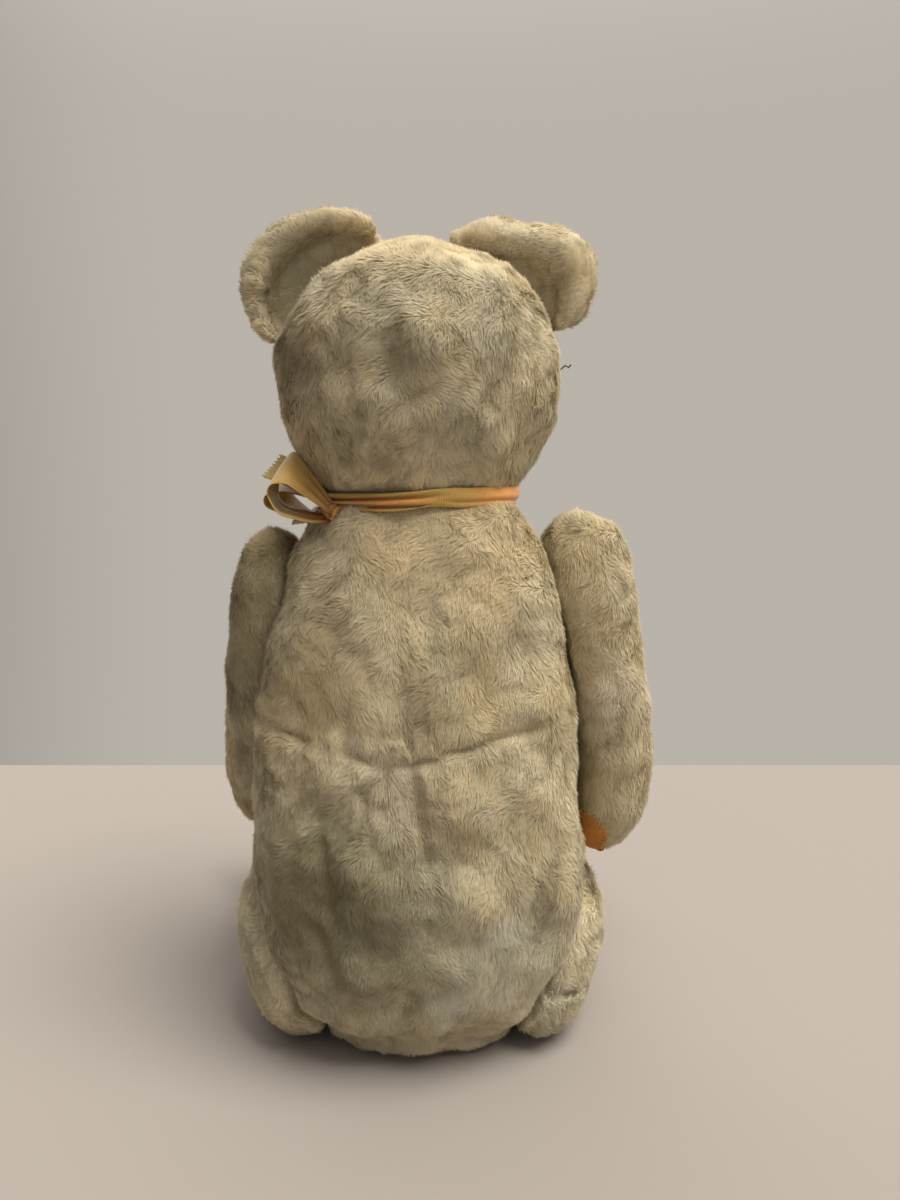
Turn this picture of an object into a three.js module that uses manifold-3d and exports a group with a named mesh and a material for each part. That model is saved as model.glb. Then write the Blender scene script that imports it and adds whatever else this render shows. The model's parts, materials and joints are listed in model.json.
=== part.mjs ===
/**
 * A worn plush teddy bear with five disc joints, sitting upright.
 *
 * Millimetres, +Z up. The bear looks along -Y, and +X is the bear's own left.
 * The origin is the middle of the flat patch that the torso sits on.
 *
 * Every cover is a fabric shell round its stuffing. Head, arms and legs each hang on one
 * disc joint: a fibreboard disc and a steel washer on each side of the two covers, and a
 * split pin through all of them, its eye in the limb and its two legs curled in the torso.
 */
import * as THREE from 'three';
import { mergeVertices } from 'three/addons/utils/BufferGeometryUtils.js';
import Module from 'manifold-3d';

const wasm = await Module();
wasm.setup();

// ---------------------------------------------------------------- driving dimensions

const WALL = 2; // plush backing with its pressed pile
const GAP = 0.3; // between pieces that touch
const PLAY = 0.4; // half of the gap between the two covers at a joint

const TORSO_TOP = 215.5;
const NECK = { x: 0, y: 0, z: TORSO_TOP + PLAY };
const HEAD = { middle: 264, width: 51, back: 49, front: 48, above: 45, below: 57 };
const MUZZLE = { length: 27, spread: 0.4, drop: -0.05, sharpness: 3.2, crowding: 0.38 };

const HIP = { x: 38, y: -10, z: 36, splay: 4 };
const SHOULDERS = {
  left: { x: 47.5, y: -7, z: 176, lean: 8, swing: 18, bulk: 0.86 },
  right: { x: 50, y: -5, z: 182, lean: 8, swing: 0, bulk: 1 },
};

const DISC = { neck: 22, shoulder: 12.5, hip: 17, thickness: 2, bore: 1.9 };
const WASHER = { radius: 6, thickness: 1, bore: 1.9 };
const WIRE = { radius: 0.75, apart: 0.95, eye: 3.2, curlReach: 1.76, curlSpread: 1.98 };
const PIN_BORE = 2.2; // the hole through both covers
const PIN_HOLE_REACH = 9; // that hole's cutter, to each side of the joint's plane

const RIBBON = { width: 16, thickness: 1 };
const BAND = { height: 7.5, floor: 212.8, acrossX: 37.2, acrossY: 36.2 };
const KNOT = { x: 34, y: 21, z: 213, radius: 4.5 };
const BOW = {
  loops: [
    { towards: [17, -2, 13], across: [-0.35, 0.7, -0.6], length: 22, spread: 5 },
    { towards: [12, -20, 0], across: [0.6, 0.3, 0.75], length: 26, spread: 5 },
  ],
  tails: [
    { towards: [19, -12, 13], across: [-0.3, 0.6, 0.7], length: 26 },
    { towards: [16, -24, -3], across: [0.6, 0.3, 0.6], length: 30 },
  ],
};

const EYE = { radius: 5.2, out: 0.37, up: 0.2, sunk: 0.8 };
const NOSE = { width: 17, height: 11, above: 3, thickness: 1.6 };
const MOUTH = { line: 1.8, drop: 5, smile: 8, thickness: 1.1 };

// A shallow bowl in the torso round each limb's root: flat in its middle, then rising to its reach.
const BOWLS = { shoulder: { flat: 18, reach: 34 }, hip: { flat: 28, reach: 37.5 } };
const BOWL_MOUTH = 60;
const BOSS = { radius: 14.5, depth: 16 };
const LEG_ROOM = { across: 60, forward: 90, above: 37, behind: 36.5, below: 60, overlap: 20 };

const HAND_PAD = { along: 23, across: 19, depth: 9, middle: -7, below: 109 };
const FOOT_PAD = { along: 30, across: 16, depth: 127, middle: 18.7, above: 2 };

const PLUSH_SIDES = 24;
const LINING_SIDES = 16;
const LIMB_SIDES = 14;
const LIMB_LINING_SIDES = 10;
const DISC_SIDES = 14;
const WASHER_SIDES = 8;

// ---------------------------------------------------------------- materials

const finish = (color, roughness, metalness = 0) =>
  new THREE.MeshStandardMaterial({ color, roughness, metalness });

const materials = {
  plush: finish(0xb3a27e, 1),
  stuffing: finish(0xcabb96, 1),
  felt: finish(0xa65f1c, 0.95),
  ribbon: finish(0xc58e4f, 0.5),
  floss: finish(0x2b1d14, 0.7),
  glass: finish(0x2a1305, 0.1),
  board: finish(0x8f7450, 0.9),
  steel: finish(0x8d8a84, 0.45, 1),
};

// ---------------------------------------------------------------- solids

/** A closed geometry as a solid that can be joined and cut. */
function solid(geometry) {
  const shape = geometry.clone();
  shape.deleteAttribute('normal');
  shape.deleteAttribute('uv');
  const merged = mergeVertices(shape, 1e-4);
  return new wasm.Manifold(new wasm.Mesh({
    numProp: 3,
    vertProperties: new Float32Array(merged.attributes.position.array),
    triVerts: new Uint32Array(merged.index.array),
  }));
}

/** The geometry of a solid. */
function surface(body) {
  const mesh = body.getMesh();
  const geometry = new THREE.BufferGeometry();
  const points = new Float32Array(mesh.vertProperties);
  geometry.setAttribute('position', new THREE.BufferAttribute(points, 3));
  geometry.setIndex(Array.from(mesh.triVerts));
  geometry.computeVertexNormals();
  return geometry;
}

/** Six times the volume that a geometry's faces enclose: negative if they point inwards. */
function signedVolume(geometry) {
  const points = geometry.attributes.position;
  const corner = (k) => new THREE.Vector3().fromBufferAttribute(points, geometry.index.getX(k));
  let total = 0;
  for (let k = 0; k < geometry.index.count; k += 3) {
    total += corner(k).dot(corner(k + 1).cross(corner(k + 2)));
  }
  return total;
}

/** A geometry with its faces turned to point outwards. */
function facingOut(geometry) {
  if (signedVolume(geometry) < 0) {
    geometry.setIndex(Array.from(geometry.index.array).reverse());
  }
  geometry.computeVertexNormals();
  return geometry;
}

/**
 * A closed skin over rings of points. Both ends are closed on the point given for them,
 * or on the middle of the end ring, which leaves a flat end.
 */
function skin(rings, startPoint, endPoint) {
  const sides = rings[0].length;
  const points = rings.flat();
  const middle = (ring) => ring.reduce((sum, p) => sum.add(p), new THREE.Vector3()).divideScalar(sides);
  points.push(startPoint ?? middle(rings[0]), endPoint ?? middle(rings.at(-1)));
  const start = points.length - 2;
  const end = points.length - 1;
  const last = (rings.length - 1) * sides;
  const faces = [];
  for (let side = 0; side < sides; side += 1) {
    const next = (side + 1) % sides;
    faces.push(start, next, side, end, last + side, last + next);
    for (let row = 0; row < last; row += sides) {
      faces.push(row + side, row + next, row + sides + side);
      faces.push(row + next, row + sides + next, row + sides + side);
    }
  }
  const geometry = new THREE.BufferGeometry().setFromPoints(points);
  geometry.setIndex(faces);
  return facingOut(geometry);
}

/** A value between the second and third of four, on a Catmull-Rom spline. */
function spline([a, b, c, d], t) {
  const slope = (c - a) / 2;
  const nextSlope = (d - b) / 2;
  const bend = -3 * b + 3 * c - 2 * slope - nextSlope;
  return b + t * (slope + t * (bend + t * (2 * b - 2 * c + slope + nextSlope)));
}

/** Stations, each a list of values, with further ones put in between them. */
function refine(stations, steps) {
  const at = (k) => stations[THREE.MathUtils.clamp(k, 0, stations.length - 1)];
  const fine = [];
  for (let k = 0; k < stations.length - 1; k += 1) {
    for (let step = 0; step < steps; step += 1) {
      const four = [at(k - 1), at(k), at(k + 1), at(k + 2)];
      fine.push(at(k).map((_, key) => spline(four.map((station) => station[key]), step / steps)));
    }
  }
  fine.push(stations.at(-1));
  return fine;
}

/** cos or sin drawn out towards a box: 2 gives an oval, more gives fuller corners. */
const full = (value, power) => Math.sign(value) * Math.abs(value) ** (2 / power);

/** A solid turned about the local X axis, from [distance along X, radius] corners. */
function turned(corners, sides) {
  const profile = corners.map(([x, r]) => new THREE.Vector2(r, x));
  return new THREE.LatheGeometry(profile, sides).rotateZ(-Math.PI / 2);
}

/** A solid moved by a placed group or by a bare matrix. */
const placed = (geometry, matrix) => solid(geometry.clone().applyMatrix4(matrix));

const FLIP_AXIS = new THREE.Matrix4().makeRotationZ(Math.PI);

// ---------------------------------------------------------------- joints

/**
 * The frame of a joint: its local X axis runs out of the torso into the limb, and its
 * origin lies on that axis midway between the two covers.
 */
function jointFrame(place, outward, turn = new THREE.Euler()) {
  const group = new THREE.Group();
  group.position.set(place.x, place.y, place.z);
  group.setRotationFromEuler(turn);
  const inner = new THREE.Group();
  inner.quaternion.setFromUnitVectors(new THREE.Vector3(1, 0, 0), outward);
  group.add(inner);
  group.updateMatrixWorld(true);
  return inner.matrixWorld.clone();
}

const SIDES = ['left', 'right'];
const degrees = THREE.MathUtils.degToRad;
const X_AXIS = new THREE.Vector3(1, 0, 0);

/** A shoulder leans so that its axis also points up; its swing turns the arm about that axis. */
function shoulderTurn(side) {
  const { lean } = SHOULDERS[side];
  return new THREE.Euler(0, degrees(side === 'left' ? -lean : lean), 0);
}

const hipTurn = (side) => new THREE.Euler(0, 0, degrees(side === 'left' ? HIP.splay : -HIP.splay));
const sideSign = (side) => (side === 'left' ? 1 : -1);

const shoulderPlace = (side) => {
  const { x, y, z } = SHOULDERS[side];
  return { x: sideSign(side) * x, y, z };
};
const hipPlace = (side) => ({ x: sideSign(side) * HIP.x, y: HIP.y, z: HIP.z });

const outwards = (side) => new THREE.Vector3(sideSign(side), 0, 0);
const frames = {
  neck: jointFrame(NECK, new THREE.Vector3(0, 0, 1)),
  shoulder_left: jointFrame(shoulderPlace('left'), outwards('left'), shoulderTurn('left')),
  shoulder_right: jointFrame(shoulderPlace('right'), outwards('right'), shoulderTurn('right')),
  hip_left: jointFrame(hipPlace('left'), outwards('left'), hipTurn('left')),
  hip_right: jointFrame(hipPlace('right'), outwards('right'), hipTurn('right')),
};

const DISC_FACE = PLAY + WALL + GAP;
const WASHER_FACE = DISC_FACE + DISC.thickness + GAP;
const WIRE_FACE = WASHER_FACE + WASHER.thickness + GAP;
const POCKET_DEPTH = WIRE_FACE + 2 * WIRE.eye + 2 * WIRE.radius + 1;

/** The room that a joint's hardware takes out of the stuffing on the limb's side. */
function pocket(radius) {
  const disc = radius + GAP;
  const washer = WASHER.radius + GAP;
  const start = -PLAY - WALL;
  return turned([
    [start, 0], [start, disc], [WASHER_FACE, disc],
    [WASHER_FACE, washer], [POCKET_DEPTH, washer], [POCKET_DEPTH, 0],
  ], DISC_SIDES);
}

/** The hole that the pin takes through both covers. */
const pinHole = () => turned([
  [-PIN_HOLE_REACH, 0], [-PIN_HOLE_REACH, PIN_BORE], [PIN_HOLE_REACH, PIN_BORE], [PIN_HOLE_REACH, 0],
], WASHER_SIDES);

/** A flat round piece with a bore, its faces at from and to on the joint's axis. */
function roundPlate(from, to, radius, bore, sides) {
  return turned([[from, bore], [from, radius], [to, radius], [to, bore], [from, bore]], sides);
}

/** One wire, bent as a split pin: an eye at +X, two legs, and their ends curled outwards at -X. */
function splitPin() {
  const eyeMiddle = WIRE_FACE + WIRE.eye + 1;
  const legEnd = -WIRE_FACE - WIRE.radius - PLAY;
  const mouth = 0.35; // half of the angle that the eye leaves open
  const eyeSteps = 6;
  const eye = Array.from({ length: eyeSteps + 1 }, (_, step) => {
    const angle = Math.PI - mouth - step * ((2 * Math.PI - 2 * mouth) / eyeSteps);
    return new THREE.Vector3(eyeMiddle + WIRE.eye * Math.cos(angle), WIRE.eye * Math.sin(angle), 0);
  });
  const curl = (sign) => [0, 0.9, 1.8, 2.7].map((angle) => new THREE.Vector3(
    legEnd - WIRE.curlReach * Math.sin(angle),
    sign * (WIRE.apart + WIRE.curlSpread * (1 - Math.cos(angle))),
    0,
  ));
  const points = [
    ...curl(1).reverse(), new THREE.Vector3(0, WIRE.apart, 0), ...eye,
    new THREE.Vector3(0, -WIRE.apart, 0), ...curl(-1),
  ];
  const path = new THREE.CatmullRomCurve3(points, false, 'centripetal');
  const section = new THREE.Shape();
  section.absarc(0, 0, WIRE.radius, 0, 2 * Math.PI);
  return new THREE.ExtrudeGeometry(section, {
    steps: 24, curveSegments: 3, bevelEnabled: false, extrudePath: path,
  });
}

/** The radius of a joint's discs, from the first word of its name. */
const discRadius = (joint) => DISC[joint.split('_')[0]];

// ---------------------------------------------------------------- torso

// Height, half width at the flanks, how much narrower the front half is, depth behind, depth in front.
const TORSO_STATIONS = [
  [0, 28, 0, 23, 28],
  [4, 38, 1, 33, 38],
  [22, 52, 6, 44, 48],
  [50, 60, 11, 50, 54],
  [85, 62, 13, 51, 57],
  [118, 60, 10, 48, 54],
  [148, 56.5, 8, 44, 48],
  [176, 52, 5, 40, 42],
  [197, 45.5, 3, 36, 36],
  [209, 37, 1, 32, 32],
  [TORSO_TOP, 29, 0, 28, 28],
];

const TORSO_FULLNESS = 2.7;

/** One ring of the torso's surface. */
function torsoRing([z, flank, tuck, back, front], inset, sides) {
  const height = THREE.MathUtils.clamp(z, inset, TORSO_TOP - inset);
  return Array.from({ length: sides }, (_, k) => {
    const angle = (2 * Math.PI * k) / sides;
    const across = Math.sin(angle);
    const towardsBack = THREE.MathUtils.smoothstep(across, -0.6, 0.35);
    const half = flank - tuck * (1 - towardsBack) - inset;
    const depth = (across > 0 ? back : front) - inset;
    return new THREE.Vector3(
      half * full(Math.cos(angle), TORSO_FULLNESS),
      depth * full(across, TORSO_FULLNESS),
      height,
    );
  });
}

/** The torso's surface, set in by a distance. */
function torsoSkin(inset, sides) {
  const rings = TORSO_STATIONS.map((station) => torsoRing(station, inset, sides));
  return skin(rings.filter((ring, k) => k === 0 || ring[0].z > rings[k - 1][0].z + 0.01));
}

/** What a limb's root and its swing take out of the torso: a bowl round the joint's axis. */
function bowl(joint, inset) {
  const floor = -PLAY - inset;
  const flat = BOWLS[joint].flat + inset;
  const reach = BOWLS[joint].reach + inset;
  return turned([
    [floor, 0], [floor, flat], [floor + 2, flat + (reach - flat) * 0.6],
    [floor + 8, reach - 1], [floor + 16, reach], [BOWL_MOUTH, reach], [BOWL_MOUTH, 0],
  ], 18);
}

/** The room that a leg swings through, from just above its rest to straight down. */
function legRoom(side, inset) {
  const across = LEG_ROOM.across + inset;
  const middle = sideSign(side) * (across / 2 - PLAY - inset);
  const slab = (front, back, top) => {
    const box = new THREE.BoxGeometry(across, back - front, top + LEG_ROOM.below);
    return solid(box.translate(middle, (front + back) / 2, (top - LEG_ROOM.below) / 2));
  };
  const ahead = slab(-LEG_ROOM.forward, inset, LEG_ROOM.above + inset);
  return ahead.add(slab(-LEG_ROOM.overlap, LEG_ROOM.behind + inset, inset));
}

/** A low round swelling under an arm's disc, so that the torso's cover lies flat there. */
function boss(inset) {
  const ceiling = -PLAY - inset;
  return turned([
    [-BOSS.depth, 0], [-BOSS.depth, BOSS.radius + 6 - inset], [ceiling - 2.5, BOSS.radius + 3 - inset / 2],
    [ceiling, BOSS.radius], [ceiling, 0],
  ], DISC_SIDES);
}

/** The flat on a limb's inner face, round the joint's axis, set in by a distance. */
function limbFlat(side, inset, disc) {
  const face = PLAY + inset;
  const root = 13;
  const foot = disc + 6 - inset;
  const flat = turned([
    [face, 0], [face, disc + 3 - 0.8 * inset], [face + 2.5, foot], [root, foot], [root, 0],
  ], 12);
  return placed(flat, side === 'left' ? new THREE.Matrix4() : FLIP_AXIS);
}

/** The torso as a solid, set in by a distance, with flats where the limbs meet it. */
function torsoBody(inset, sides) {
  let body = solid(torsoSkin(inset, sides));
  for (const side of SIDES) {
    const { x, y, z } = hipPlace(side);
    const hipBox = new THREE.Matrix4().makeRotationFromEuler(hipTurn(side)).setPosition(x, y, z);
    body = body.add(placed(boss(inset), frames[`shoulder_${side}`]));
    body = body.subtract(placed(bowl('shoulder', inset), frames[`shoulder_${side}`]));
    body = body.subtract(placed(bowl('hip', inset), frames[`hip_${side}`]));
    body = body.subtract(legRoom(side, inset).transform(hipBox.elements));
  }
  return body;
}

function makeTorso() {
  let cover = torsoBody(0, PLUSH_SIDES).subtract(torsoBody(WALL, LINING_SIDES));
  let stuffing = torsoBody(WALL + GAP, LINING_SIDES);
  for (const [joint, frame] of Object.entries(frames)) {
    cover = cover.subtract(placed(pinHole(), frame));
    const room = pocket(discRadius(joint)).applyMatrix4(FLIP_AXIS);
    stuffing = stuffing.subtract(placed(room, frame));
  }
  return { cover, stuffing };
}

// ---------------------------------------------------------------- head

/** The muzzle's reach beyond the ball of the head, in a direction from the head's middle. */
function muzzleReach(direction) {
  const axis = new THREE.Vector3(0, -1, MUZZLE.drop).normalize();
  const angle = direction.angleTo(axis);
  return MUZZLE.length * Math.exp(-((angle / MUZZLE.spread) ** MUZZLE.sharpness));
}

/**
 * The head's surface, set in by a distance: a ball with a blunt muzzle, flat at the neck.
 * Its points crowd towards the muzzle.
 */
function headSkin(inset, sides, rows) {
  const neck = NECK.z + PLAY + inset;
  const lowest = Math.acos(-(HEAD.middle - neck) / (HEAD.below - inset));
  const rings = [];
  for (let row = 1; row <= rows; row += 1) {
    const polar = (lowest * row) / rows;
    rings.push(Array.from({ length: sides }, (_, k) => {
      const turn = (2 * Math.PI * k) / sides;
      const azimuth = turn - MUZZLE.crowding * Math.sin(turn);
      const direction = new THREE.Vector3().setFromSphericalCoords(1, polar, azimuth);
      const ray = new THREE.Vector3(direction.x, -direction.z, direction.y);
      const point = new THREE.Vector3(
        (HEAD.width - inset) * ray.x,
        ((ray.y > 0 ? HEAD.back : HEAD.front) - inset) * ray.y,
        ((ray.z > 0 ? HEAD.above : HEAD.below) - inset) * ray.z,
      );
      point.addScaledVector(ray, muzzleReach(ray));
      return point.add(new THREE.Vector3(0, 0, HEAD.middle));
    }));
  }
  const floor = rings.at(-1);
  floor.forEach((point) => point.setZ(neck));
  const crown = new THREE.Vector3(0, 0, HEAD.middle + HEAD.above - inset);
  return skin(rings, crown, new THREE.Vector3(0, 0, neck));
}

const HEAD_GRID = [28, 16];
const HEAD_LINING_GRID = [16, 10];

/** The head, swollen by a distance: what a piece that lies on it is cut by. */
const proudHead = (proud) => solid(headSkin(-proud, ...HEAD_GRID));

function makeHead() {
  const outer = solid(headSkin(0, ...HEAD_GRID));
  const inner = solid(headSkin(WALL, ...HEAD_LINING_GRID));
  const cover = outer.subtract(inner).subtract(placed(pinHole(), frames.neck));
  const stuffing = solid(headSkin(WALL + GAP, ...HEAD_LINING_GRID))
    .subtract(placed(pocket(DISC.neck), frames.neck));
  return { cover, stuffing };
}

/** An eye: a glass bead, cut to lie on the plush. */
function makeEye(side) {
  const ray = new THREE.Vector3(sideSign(side) * EYE.out, -1, EYE.up).normalize();
  const place = new THREE.Vector3(HEAD.width * ray.x, HEAD.front * ray.y, HEAD.below * ray.z + HEAD.middle);
  place.addScaledVector(ray, muzzleReach(ray) - EYE.sunk);
  const bead = new THREE.SphereGeometry(EYE.radius, 12, 8).translate(place.x, place.y, place.z);
  return solid(bead).subtract(proudHead(GAP));
}

/** A layer of stitching that lies on the muzzle, as thick as said, where a region covers it. */
function stitched(region, thickness) {
  return solid(region).intersect(proudHead(GAP + thickness)).subtract(proudHead(GAP));
}

/** The region in front of the muzzle that an outline covers, drawn as seen from the front. */
function muzzleRegion(outline) {
  const muzzleTip = HEAD.middle + MUZZLE.drop * (HEAD.front + MUZZLE.length);
  const block = new THREE.ExtrudeGeometry(outline, { depth: 40, bevelEnabled: false, curveSegments: 5 });
  return block.rotateX(Math.PI / 2).translate(0, -HEAD.front, muzzleTip + NOSE.above);
}

function makeNose() {
  const side = NOSE.width / 2;
  const top = NOSE.height / 2;
  const outline = new THREE.Shape();
  outline.moveTo(-side, top);
  outline.quadraticCurveTo(0, top + 2.5, side, top);
  outline.quadraticCurveTo(side + 0.5, -1, 0, -top);
  outline.quadraticCurveTo(-side - 0.5, -1, -side, top);
  return stitched(muzzleRegion(outline), NOSE.thickness);
}

/** The mouth: a short line down from the nose, which parts into two upturned curves. */
function makeMouth() {
  const half = MOUTH.line / 2;
  const side = MOUTH.smile;
  const bend = 3;
  const top = -NOSE.height / 2 - GAP - 0.2;
  const fork = top - MOUTH.drop;
  const low = fork - MOUTH.line - 3;
  const outline = new THREE.Shape();
  outline.moveTo(-half, top);
  outline.lineTo(half, top);
  outline.lineTo(half, fork);
  outline.quadraticCurveTo(bend, fork - 3, side, fork - 3.5);
  outline.lineTo(side, low - 0.4);
  outline.quadraticCurveTo(bend, low - 0.2, 0, fork - 2);
  outline.quadraticCurveTo(-bend, low - 0.2, -side, low - 0.4);
  outline.lineTo(-side, fork - 3.5);
  outline.quadraticCurveTo(-bend, fork - 3, -half, fork);
  return stitched(muzzleRegion(outline), MOUTH.thickness);
}

// ---------------------------------------------------------------- ears

// From the lower end of the seam on the side of the head to its upper end near the crown.
const EARS = {
  left: { low: [49, -2, 278], high: [15, -2, 309], height: 36, cup: 0.9, thick: 9 },
  right: { low: [-49, 0, 281], high: [-13, 0, 310], height: 40, cup: -0.7, thick: 10 },
};

/**
 * A cupped ear: a rounded flap that stands on its seam and bends towards the back of the
 * bear (cup above 0) or over to the front (cup below 0).
 */
function earSkin({ low, high, height, cup, thick }) {
  const start = new THREE.Vector3(...low);
  const seam = new THREE.Vector3(...high).sub(start);
  const rise = new THREE.Vector3(-seam.z, 0, seam.x).normalize();
  if (rise.z < 0) rise.negate();
  const back = new THREE.Vector3(0, 1, 0);
  const rings = [];
  for (let step = 1; step < 9; step += 1) {
    const along = step / 9;
    const swell = Math.sqrt(1 - (2 * along - 1) ** 2);
    const tall = height * swell ** 0.6;
    const half = (thick / 2) * swell ** 0.5;
    const root = start.clone().addScaledVector(seam, 1.16 * along - 0.08);
    const at = (t) => {
      const bend = cup * t;
      const out = bend === 0 ? t : Math.sin(bend) / cup;
      const over = (1 - Math.cos(bend)) / cup;
      return [out * tall, over * tall, bend];
    };
    const point = (t, offset) => {
      const [out, over, bend] = at(t);
      return root.clone()
        .addScaledVector(rise, out - offset * Math.sin(bend))
        .addScaledVector(back, over + offset * Math.cos(bend));
    };
    rings.push([
      point(0, half * 0.8), point(0.3, half), point(0.6, half), point(0.85, half * 0.85),
      point(1, 0),
      point(0.85, -half * 0.85), point(0.6, -half), point(0.3, -half), point(0, -half * 0.8),
    ]);
  }
  const end = (along) => start.clone().addScaledVector(seam, along);
  return skin(rings, end(-0.08), end(1.08));
}

const makeEar = (side) => solid(earSkin(EARS[side])).subtract(proudHead(GAP));

// ---------------------------------------------------------------- limbs

const LIMB_FULLNESS = 2.3;
const INNER_FULLNESS = 3.4; // squarer, so that the face next to the torso is nearly flat

/**
 * A limb's surface, set in by a distance. It runs along its length axis away from the
 * joint, and each station is [distance, inner face, outer face, one way, other way].
 */
function limbSkin(stations, side, inset, sides, place) {
  const [first, ...rest] = refine(stations, inset > 0 ? 1 : 2);
  const farEnd = rest.at(-1)[0];
  const least = 0.6;
  const rings = rest.map(([distance, near, far, high, low]) => {
    const reach = THREE.MathUtils.clamp(distance, first[0] + inset, farEnd - inset);
    const half = Math.max((far - near) / 2 - inset, least);
    const tall = Math.max((high - low) / 2 - inset, least);
    return Array.from({ length: sides }, (_, k) => {
      const angle = (2 * Math.PI * k) / sides;
      const across = full(Math.cos(angle), Math.cos(angle) > 0 ? LIMB_FULLNESS : INNER_FULLNESS);
      const along = full(Math.sin(angle), LIMB_FULLNESS);
      const x = sideSign(side) * ((near + far) / 2 + half * across);
      return place(x, (high + low) / 2 + tall * along, reach);
    });
  });
  const [start, inner, outer, up, down] = first;
  return skin(rings, place(sideSign(side) * (inner + outer) / 2, (up + down) / 2, start + inset));
}

// Distance below the shoulder, inner face, outer face, front edge, back edge.
const ARM_STATIONS = [
  [-27, 14, 16, 1, -1],
  [-19, 4, 27, 15, -15],
  [-2, PLAY, 31, 21, -21],
  [28, 4, 32, 21, -20],
  [56, 5.5, 32, 19, -17],
  [80, 4.5, 30, 19, -15],
  [96, 2, 23, 18, -11],
  [105, 3, 16, 13, -5],
];

// Distance in front of the hip, inner face, outer face, top edge, bottom edge.
const LEG_STATIONS = [
  [-33.5, 15, 17, 1, -1],
  [-24, 2.5, 30, 24, -24],
  [-3, PLAY, 35, 33.5, -36],
  [26, PLAY, 35, 28, -35.5],
  [56, 2, 34, 18, -34],
  [86, 2.5, 34, 13, -35],
  [110, 0, 36, 23, -36],
  [124, -1.5, 39, 37, -35],
  [133, 0.5, 37, 37, -33],
];

const FLOOR = -HIP.z;
const PAD_BLOCK = 60; // the length of the solid that marks a pad's outline

const armPlace = (x, y, distance) => new THREE.Vector3(x, -y, -distance);
const legPlace = (x, z, distance) => new THREE.Vector3(x, -distance, Math.max(z, FLOOR));

const limbs = {
  arm: {
    body: (side, inset, sides) => {
      const { bulk } = SHOULDERS[side];
      const stations = ARM_STATIONS.map(([d, inner, outer, up, down]) => [d, inner, outer * bulk, up, down]);
      const arm = solid(limbSkin(stations, side, inset, sides, armPlace));
      return arm.add(limbFlat(side, inset, DISC.shoulder));
    },
    joint: 'shoulder',
    padName: 'hand_pad',
    padRegion: (side, extra) => {
      const { along, across, depth, middle, below } = HAND_PAD;
      const oval = new THREE.CylinderGeometry(1, 1, PAD_BLOCK, 18).rotateZ(Math.PI / 2);
      const x = sideSign(side) * (depth + extra - PAD_BLOCK / 2);
      return oval.scale(1, across + extra, along + extra).translate(x, middle, -below);
    },
  },
  leg: {
    body: (side, inset, sides) => {
      const foot = solid(limbSkin(LEG_STATIONS, side, inset, sides, legPlace));
      const floor = new THREE.BoxGeometry(200, 400, 40).translate(0, -60, FLOOR + inset - 20);
      const leg = inset > 0 ? foot.subtract(solid(floor)) : foot;
      return leg.add(limbFlat(side, inset, DISC.hip));
    },
    joint: 'hip',
    padName: 'foot_pad',
    padRegion: (side, extra) => {
      const { along, across, depth, middle, above } = FOOT_PAD;
      const oval = new THREE.CylinderGeometry(1, 1, PAD_BLOCK, 20);
      const y = -depth + extra - PAD_BLOCK / 2;
      return oval.scale(across + extra, 1, along + extra).translate(sideSign(side) * middle, y, above);
    },
  },
};

/** A limb's cover, its felt pad and its stuffing, all in the limb's own frame. */
function makeLimb(kind, side) {
  const { body, joint, padRegion } = limbs[kind];
  const outer = body(side, 0, LIMB_SIDES);
  const shell = outer.subtract(body(side, WALL, LIMB_LINING_SIDES));
  const axis = side === 'left' ? new THREE.Matrix4() : FLIP_AXIS;
  const cover = shell.subtract(solid(padRegion(side, GAP))).subtract(placed(pinHole(), axis));
  const pad = shell.intersect(solid(padRegion(side, 0)));
  const stuffing = body(side, WALL + GAP, LIMB_LINING_SIDES).subtract(placed(pocket(DISC[joint]), axis));
  return { cover, pad, stuffing };
}

// ---------------------------------------------------------------- ribbon

/** A strip of ribbon on edge: a line drawn in a plane, given the ribbon's thickness and width. */
function ribbonStrip(line, width, matrix) {
  const half = RIBBON.thickness / 2;
  const outline = line.map((point, k) => {
    const before = line[Math.max(k - 1, 0)];
    const after = line[Math.min(k + 1, line.length - 1)];
    const along = after.clone().sub(before).normalize();
    return [point, new THREE.Vector2(-along.y, along.x).multiplyScalar(half)];
  });
  const there = outline.map(([point, side]) => point.clone().add(side));
  const back = outline.map(([point, side]) => point.clone().sub(side)).reverse();
  const outlineShape = new THREE.Shape([...there, ...back]);
  const strip = new THREE.ExtrudeGeometry(outlineShape, { depth: width, bevelEnabled: false });
  return placed(strip.translate(0, 0, -width / 2), matrix);
}

/** One loop of the bow, leaving the knot along a direction and coming back to it. */
function bowLoop({ towards, across, length, spread }) {
  const line = new THREE.SplineCurve([
    [1, 0.6], [length * 0.45, spread * 0.8], [length * 0.9, spread * 0.75], [length, 0],
    [length * 0.85, -spread * 0.75], [length * 0.45, -spread * 0.7], [1, -0.6],
  ].map(([x, y]) => new THREE.Vector2(x, y))).getPoints(9);
  return ribbonStrip(line, RIBBON.width, axesAt(towards, across));
}

/** One tail of the bow, hanging from the knot. */
function bowTail({ towards, across, length }) {
  const line = new THREE.SplineCurve([
    [0, 0], [length * 0.4, 2], [length * 0.75, -1.5], [length, 0],
  ].map(([x, y]) => new THREE.Vector2(x, y))).getPoints(4);
  return ribbonStrip(line, RIBBON.width, axesAt(towards, across));
}

/** A frame at the knot with its X axis along a direction and its Z axis near another. */
function axesAt(direction, widthAxis) {
  const x = new THREE.Vector3(...direction).normalize();
  const y = new THREE.Vector3(...widthAxis).cross(x).normalize();
  const z = x.clone().cross(y);
  return new THREE.Matrix4().makeBasis(x, y, z).setPosition(KNOT.x, KNOT.y, KNOT.z);
}

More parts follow.
